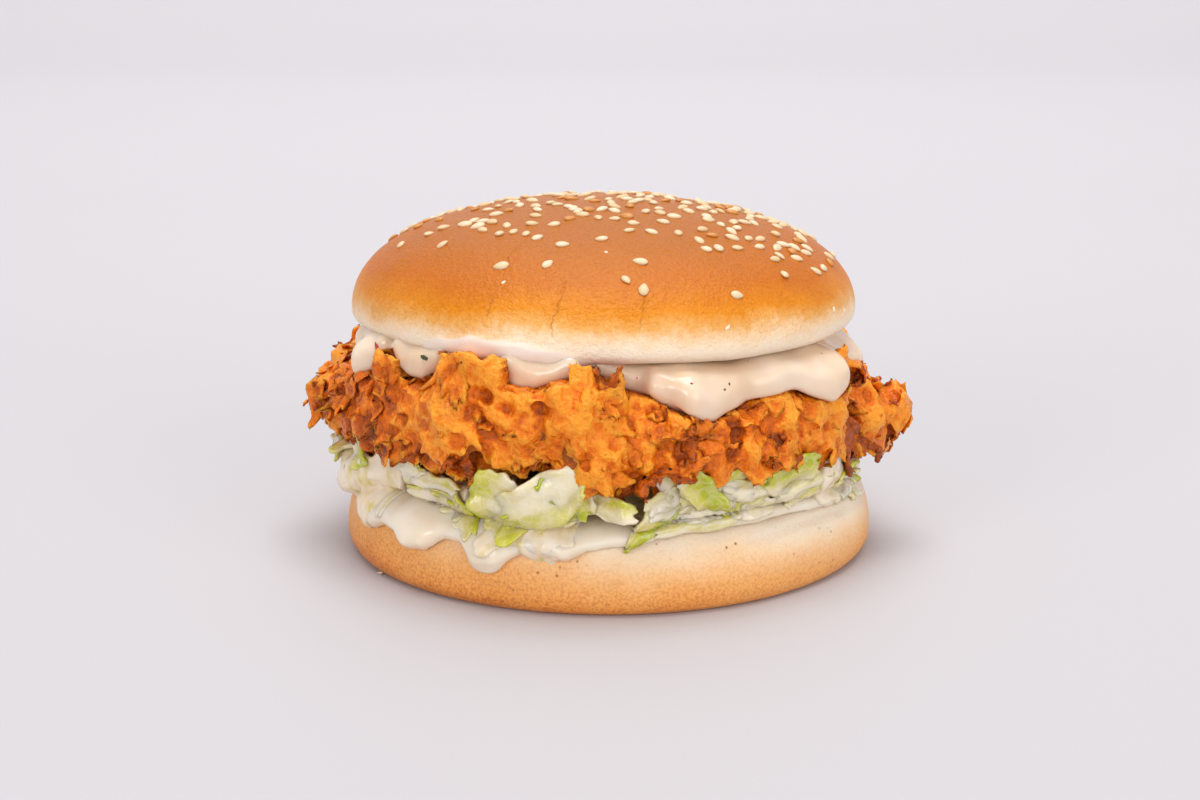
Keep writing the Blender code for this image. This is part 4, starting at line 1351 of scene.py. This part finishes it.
# Sauce was dragged up over the rim, left of the middle: the angle and height of the film's upper edge.
SMEAR = ((-134.0, 0.0545), (-130.0, 0.0572), (-119.0, 0.0588), (-111.0, 0.0588), (-104.0, 0.0577),
         (-97.0, 0.0565), (-94.0, 0.0545))
film = np.zeros(len(crown.data.vertices), np.float32)
for vertex in crown.data.vertices:
    angle = angle_of(vertex.co)
    if not SMEAR[0][0] < angle < SMEAR[-1][0]:
        continue
    edge = np.interp(angle, *zip(*SMEAR)) + 0.0008 * noise.noise(vertex.co * 260.0)
    film[vertex.index] = held((edge - vertex.co.z) / 0.0012)
normals = [vertex.normal.copy() for vertex in crown.data.vertices]
for vertex, normal, share in zip(crown.data.vertices, normals, film):
    vertex.co += normal * float(share) * (0.00045 + 0.00035 * noise.noise(vertex.co * 300.0))
store(crown, "crack", crack_tone)
store(crown, "film", film)
crown.data.shade_smooth()

# The crown's skin is drier and browner than the heel's, with a satin sheen and a fine leathery grain.
crown_crust = new_finish(
    "browned_roll_crust", Roughness=0.46, Specular_IOR_Level=0.36, Specular_Tint=(1.0, 0.80, 0.46, 1.0),
    Subsurface_Weight=0.12, Subsurface_Radius=(1.0, 0.45, 0.2), Subsurface_Scale=0.0025
)
place = add_node(crown_crust, "TexCoord", out="Object")
height = add_node(crown_crust, "SeparateXYZ", {"Vector": place}, out="Z")
# The gold runs lower at the left and right ends than in front.
across = add_node(crown_crust, "SeparateXYZ", {"Vector": place}, out="X")
across = add_node(crown_crust, "Math", {0: across, 1: across}, operation="MULTIPLY")
height = add_node(crown_crust, "Math", {0: across, 1: 0.9, 2: height}, operation="MULTIPLY_ADD")
_, shifted = stirred_in(crown_crust, place, height, 45.0, 3.0, 0.0060)
mottle, shifted = stirred_in(crown_crust, place, shifted, 230.0, 3.0, 0.0030)
fine, shifted = stirred_in(crown_crust, place, shifted, 900.0, 2.0, 0.0022)
share = add_node(crown_crust, "MapRange", {"Value": shifted, "From Min": 0.0580, "From Max": 0.0845})
toasted = add_node(
    crown_crust, "ValToRGB", {"Fac": share},
    [
        (0.00, "f2e2cf"), (0.17, "f3e0c6"), (0.26, "f2cda2"), (0.34, "e5a85c"), (0.44, "da8616"),
        (0.60, "c36a0a"), (0.82, "b4640c"), (1.0, "b06410")
    ]
)
grain = add_node(crown_crust, "TexNoise", {"Vector": place, "Scale": 1900.0})
freckle = add_node(
    crown_crust, "ValToRGB", {"Fac": grain}, [(0.30, "c08a58"), (0.50, "f4e6d8"), (0.70, "ffffff")]
)
freckled = add_node(
    crown_crust, "MapRange",
    {"Value": share, "From Min": 0.22, "From Max": 0.46, "To Min": 0.05, "To Max": 0.34}
)
speckled = add_node(
    crown_crust, "MixRGB", {"Fac": freckled, "Color1": toasted, "Color2": freckle}, blend_type="MULTIPLY"
)
crack = add_node(crown_crust, "Attribute", out="Fac", attribute_name="crack")
cracked = add_node(crown_crust, "MixRGB", {"Fac": crack, "Color1": speckled, "Color2": linear("b87838")})
# The film of sauce is wet and hides the skin's grain.
film = add_node(crown_crust, "Attribute", out="Fac", attribute_name="film")
blurred = add_node(crown_crust, "Math", {0: mottle, 1: 0.30, 2: film}, operation="MULTIPLY_ADD")
covered = add_node(crown_crust, "MapRange", {"Value": blurred, "From Min": 0.45, "From Max": 0.85})
coated = add_node(crown_crust, "MixRGB", {"Fac": covered, "Color1": cracked, "Color2": linear("ecdccf")})
shine = add_node(crown_crust, "MapRange", {"Value": covered, "To Min": 0.42, "To Max": 0.22})
bare_skin = add_node(crown_crust, "MapRange", {"Value": covered, "To Min": 0.55, "To Max": 0.06})
rough = add_node(crown_crust, "Math", {0: fine, 1: 1.5, 2: grain}, operation="MULTIPLY_ADD")
bump = add_node(crown_crust, "Bump", {"Height": rough, "Strength": bare_skin, "Distance": 0.00034})
wire(crown_crust, Base_Color=coated, Roughness=shine, Normal=bump)
crown_surface = surface_of(crown)
shown_as(crown, crown_crust, "bun_crown")

# ---------------------------------------------------------------------------------------------------
# Sesame seeds: hulled, pressed on the dough before baking. They lie thick over the top and the back
# of the crown and thin out down the front, and a few have fallen off.

SEED_LENGTH = 0.0033
SEED_WIDTH = 0.0021
SEED_THICKNESS = 0.0012
SEED_GAP = 0.0026
SEEDED_RADIUS = 0.052
SEED_TRIES = 900
MOST_SEEDS = 260

bpy.ops.mesh.primitive_uv_sphere_add(segments=10, ring_count=8, radius=0.5)
one_seed = bpy.context.active_object
for vertex in one_seed.data.vertices:
    taper = 1.0 - 0.62 * max(0.0, vertex.co.x + 0.05) - 0.5 * max(0.0, vertex.co.x + 0.05) ** 2
    vertex.co = (
        vertex.co.x * SEED_LENGTH, vertex.co.y * SEED_WIDTH * taper * 1.06,
        vertex.co.z * SEED_THICKNESS * (0.55 + 0.45 * taper)
    )

seeds = []


def set_seed(spot_x, spot_y, heading, rng, toast):
    """Sets a seed on the crown under this spot, its tip towards heading."""
    hit, normal = crown_surface.ray_cast(Vector((spot_x, spot_y, 0.12)), Vector((0, 0, -1)))[:2]
    if hit is None or hit.z < 0.060:
        return
    seed = copy_of(one_seed)
    lean = Vector((rng.gauss(0.0, 0.12), rng.gauss(0.0, 0.12), 0.0))
    upright = (normal + lean).normalized()
    ahead = outward(heading)
    ahead = (ahead - upright * ahead.dot(upright)).normalized()
    side = upright.cross(ahead)
    size = rng.uniform(0.84, 1.10)
    turn = Matrix((ahead, side, upright)).transposed().to_4x4()
    seed.data.transform(Matrix.Translation(hit + normal * 0.00018) @ turn @ Matrix.Scale(size, 4))
    tones = [toast] * len(seed.data.vertices)
    store(seed, "toast", tones)
    seeds.append(seed)


# Seeds on the bare front, each at its own angle and distance from the middle, and the way its tip points.
FRONT_SEEDS = (
    (-120, 0.0443, 180), (-107, 0.0422, 50), (-106, 0.0340, 0), (-92, 0.0306, 190), (-80, 0.0403, 165),
    (-85, 0.0461, 300), (-81, 0.0486, 90), (-58, 0.0512, 0), (-39, 0.0489, 270), (-32, 0.0442, 330),
    (-43, 0.0386, 20), (-50, 0.0372, 110), (-55, 0.0370, 150), (-53, 0.0330, 130), (-57, 0.0284, 100),
    (-69, 0.0270, 160), (-79, 0.0258, 20), (-153, 0.0318, 200), (-161, 0.0332, 170), (-149, 0.0416, 10),
    (-167, 0.0371, 30), (-166, 0.0406, 45), (-169, 0.0466, 60), (-142, 0.0276, 90), (-136, 0.0322, 80),
    (-132, 0.0300, 60), (-132, 0.0242, 10), (-125, 0.0302, 75), (-118, 0.0315, 35), (-18, 0.0463, 0),
)
seed_rng = random.Random(5)
taken = []
for angle, radius, heading in FRONT_SEEDS:
    turn = math.radians(angle)
    x, y = radius * math.cos(turn), radius * math.sin(turn)
    taken.append((x, y))
    set_seed(x, y, heading, seed_rng, seed_rng.choice((0.05, 0.10, 0.20, 0.25)))
for _ in range(SEED_TRIES):
    angle = seed_rng.uniform(0.0, 2.0 * math.pi)
    radius = SEEDED_RADIUS * math.sqrt(seed_rng.random())
    x, y = radius * math.cos(angle), radius * math.sin(angle)
    # The front slope stays bare, the right side is seeded further down than the left.
    bare = y < -0.020 - 0.30 * max(0.0, x - 0.012) or (x < -0.030 and y < 0.004)
    near = any((x - a) ** 2 + (y - b) ** 2 < SEED_GAP**2 for a, b in taken)
    thin = seed_rng.random() > 0.62
    if bare or near or thin:
        continue
    taken.append((x, y))
    set_seed(x, y, seed_rng.uniform(0, 360), seed_rng, seed_rng.choice((0.0, 0.1, 0.15, 0.2, 0.3, 0.85)))
    if len(seeds) > MOST_SEEDS:
        break
bpy.data.objects.remove(one_seed)
sesame = join(seeds)
sesame.name = "sesame_seeds"
sesame.data.shade_smooth()

# Hulled sesame: waxy ivory, and honey coloured where the oven caught it.
seed_finish = new_finish(
    "hulled_sesame", Roughness=0.42, Specular_IOR_Level=0.45, Subsurface_Weight=0.25,
    Subsurface_Radius=(1.0, 0.7, 0.4), Subsurface_Scale=0.0012
)
toast = add_node(seed_finish, "Attribute", out="Fac", attribute_name="toast")
place = add_node(seed_finish, "TexCoord", out="Object")
_, tone = stirred_in(seed_finish, place, toast, 900.0, 2.0, 0.25)
seeded = add_node(
    seed_finish, "ValToRGB", {"Fac": tone},
    [(0.05, "e4d0b2"), (0.35, "dcc096"), (0.70, "d2a060"), (1.0, "c6843c")]
)
wire(seed_finish, Base_Color=seeded)
shown_as(sesame, seed_finish)

# ---------------------------------------------------------------------------------------------------
# Flecks: bits of red chilli skin and dried herb stuck in the sauce, burnt grains on the batter, and pale
# crumbs off the bun, one of which has fallen on the table.

CRUMB_ON_TABLE = Vector((-0.0500, -0.0302, 0.0004))


def set_fleck(spot, normal, length, width, turn):
    """A rough-edged bit of this size lying on a surface. turn 0 lies level and 90 upright."""
    bpy.ops.mesh.primitive_ico_sphere_add(subdivisions=3, radius=0.5)
    fleck = bpy.context.active_object
    up = Vector((0.0, 0.0, 1.0)) if normal.z < 0.9 else Vector((0.0, 1.0, 0.0))
    across = up.cross(normal).normalized()
    upward = normal.cross(across)
    swing = math.radians(turn)
    ahead = across * math.cos(swing) + upward * math.sin(swing)
    beside = upward * math.cos(swing) - across * math.sin(swing)
    for vertex in fleck.data.vertices:
        x, y, z = vertex.co * (1.0 + 0.6 * noise.noise(vertex.co * 4.0 + spot * 900.0))
        vertex.co = spot + ahead * x * length + beside * y * width + normal * z * 0.6 * width
    return fleck


# Each piece: its name, its finish, and the angle, height, length, width and turn of its bits.
FLECKS = (
    ("chilli_flecks", sauce_surface, "b03a2c", (
        (-149.0, 0.0510, 0.0030, 0.0008, 112), (-72.9, 0.0500, 0.0006, 0.0005, 0),
    )),
    ("herb_flecks", sauce_surface, "3c4426", (
        (-131.5, 0.0524, 0.0018, 0.0009, -20), (-65.2, 0.0478, 0.0006, 0.0004, 30),
        (-63.8, 0.0487, 0.0006, 0.0004, 70), (-63.6, 0.0520, 0.0012, 0.0006, 10),
    )),
    ("burnt_grains", batter, "2a1c16", (
        (-77.5, 0.0325, 0.0007, 0.0006, 0), (-45.7, 0.0335, 0.0006, 0.0005, 0),
    )),
    ("bun_crumbs", crown_surface, "f0dcc0", (
        (-116.3, 0.0685, 0.0010, 0.0007, 40), (-90.2, 0.0736, 0.0008, 0.0007, 0),
        (-63.1, 0.0601, 0.0016, 0.0006, 35), (-28.4, 0.0592, 0.0013, 0.0007, 70),
        (-22.5, 0.0578, 0.0011, 0.0007, 60),
    )),
)
for name, surface, colour, bits in FLECKS:
    made = [set_fleck(*seen_from(bit[0], bit[1], surface), *bit[2:]) for bit in bits]
    if name == "bun_crumbs":
        made.append(set_fleck(CRUMB_ON_TABLE, Vector((0.0, 0.0, 1.0)), 0.0014, 0.0009, 20))
    fleck = join(made)
    fleck.name = name
    fleck.data.shade_smooth()
    shown_as(fleck, new_finish(name, Roughness=0.45, Base_Color=linear(colour)))

# ---------------------------------------------------------------------------------------------------
# Table and backdrop: one wide sheet of pale matt paper, level under the burger and swept up in a curve
# behind it. Its colour is painted a little darker in front than at the back, as painted shade.

# Metres: the sheet's width, its front edge, where it bends up, the wall above the bend and the bend's steps.
PAPER_WIDTH = 4.0
PAPER_FRONT = -3.2
PAPER_BEND = 1.1
PAPER_TOP = 2.4
PAPER_STEPS = 12
PAPER_STEP = 0.11

bpy.ops.mesh.primitive_plane_add(size=1.0)
paper = bpy.context.active_object
paper.name = "paper_sweep"
bpy.ops.object.mode_set(mode="EDIT")
bpy.ops.transform.resize(value=(PAPER_WIDTH, PAPER_BEND - PAPER_FRONT, 1.0))
bpy.ops.transform.translate(value=(0.0, (PAPER_BEND + PAPER_FRONT) / 2, 0.0))
bpy.ops.mesh.select_all(action="DESELECT")
bpy.ops.object.mode_set(mode="OBJECT")
for edge in paper.data.edges:
    edge.select = all(paper.data.vertices[end].co.y > PAPER_BEND - 0.01 for end in edge.vertices)
bpy.ops.object.mode_set(mode="EDIT")
bpy.ops.mesh.select_mode(type="EDGE")
for step in range(PAPER_STEPS):
    turn = math.radians(90.0 * (step + 0.5) / PAPER_STEPS)
    move = Vector((0.0, math.cos(turn), math.sin(turn))) * PAPER_STEP
    bpy.ops.mesh.extrude_region_move(TRANSFORM_OT_translate={"value": move})
bpy.ops.mesh.extrude_region_move(TRANSFORM_OT_translate={"value": (0.0, 0.0, PAPER_TOP)})
bpy.ops.object.mode_set(mode="OBJECT")
paper.data.shade_smooth()
paper_finish = new_finish("pale_paper_shaded_in_front", Roughness=0.55, Specular_IOR_Level=0.3)
place = add_node(paper_finish, "TexCoord", out="Object")
depth = add_node(paper_finish, "SeparateXYZ", {"Vector": place}, out="Y")
# One paper, coloured darker towards the front and lighter up the backdrop: painted shade and painted light.
pale = add_node(
    paper_finish, "ValToRGB", {"Fac": depth}, [(0.2, "c1bec1"), (0.5, "c4c1c4"), (1.0, "cecbce")]
)
wire(paper_finish, Base_Color=pale)
paper.data.materials.append(paper_finish)

# ---------------------------------------------------------------------------------------------------
# Light: a white room with soft boxes low in front, the right one larger and stronger than the left, a
# weak fill between them, one over the crown, and one aimed at the backdrop.


def soft_box(name, size, power, spot, aim):
    """A square lamp of this size in metres and power in watts, aimed at a point."""
    lamp = bpy.data.lights.new(name, "AREA")
    lamp.size = size
    lamp.energy = power
    holder = bpy.data.objects.new(name, lamp)
    bpy.context.scene.collection.objects.link(holder)
    holder.location = spot
    holder.rotation_euler = (Vector(aim) - Vector(spot)).to_track_quat("-Z", "Y").to_euler()


world = bpy.data.worlds.new("white_room")
bpy.context.scene.world = world
world.use_nodes = True
world.node_tree.nodes["Background"].inputs["Color"].default_value = (1.0, 0.985, 1.0, 1.0)
world.node_tree.nodes["Background"].inputs["Strength"].default_value = 0.50
soft_box("left_light", 0.8, 14.5, (-1.5, -1.9, 0.95), (0.0, 0.1, 0.0))
soft_box("right_light", 1.6, 21.0, (1.7, -1.9, 0.95), (0.0, 0.1, 0.0))
soft_box("front_light", 1.0, 5.0, (0.1, -2.3, 0.75), (0.0, 0.0, 0.03))
soft_box("top_light", 0.7, 2.8, (0.0, 0.45, 1.1), (0.0, 0.0, 0.0))
soft_box("backdrop_light", 1.6, 42.0, (0.0, 0.1, 2.35), (0.0, 1.4, 0.4))
bpy.context.scene.view_settings.view_transform = "Standard"

# ---------------------------------------------------------------------------------------------------
# Camera: half a metre in front of the burger and a little above it, looking slightly down.

CAMERA_TILT = 14.18

camera = bpy.data.cameras.new("camera")
camera.lens = 66.0
camera.sensor_width = 36.0
holder = bpy.data.objects.new("camera", camera)
bpy.context.scene.collection.objects.link(holder)
holder.location = (-0.0014, -0.4937, 0.157)
holder.rotation_euler = (math.radians(90.0 - CAMERA_TILT), 0.0, 0.0)
bpy.context.scene.camera = holder
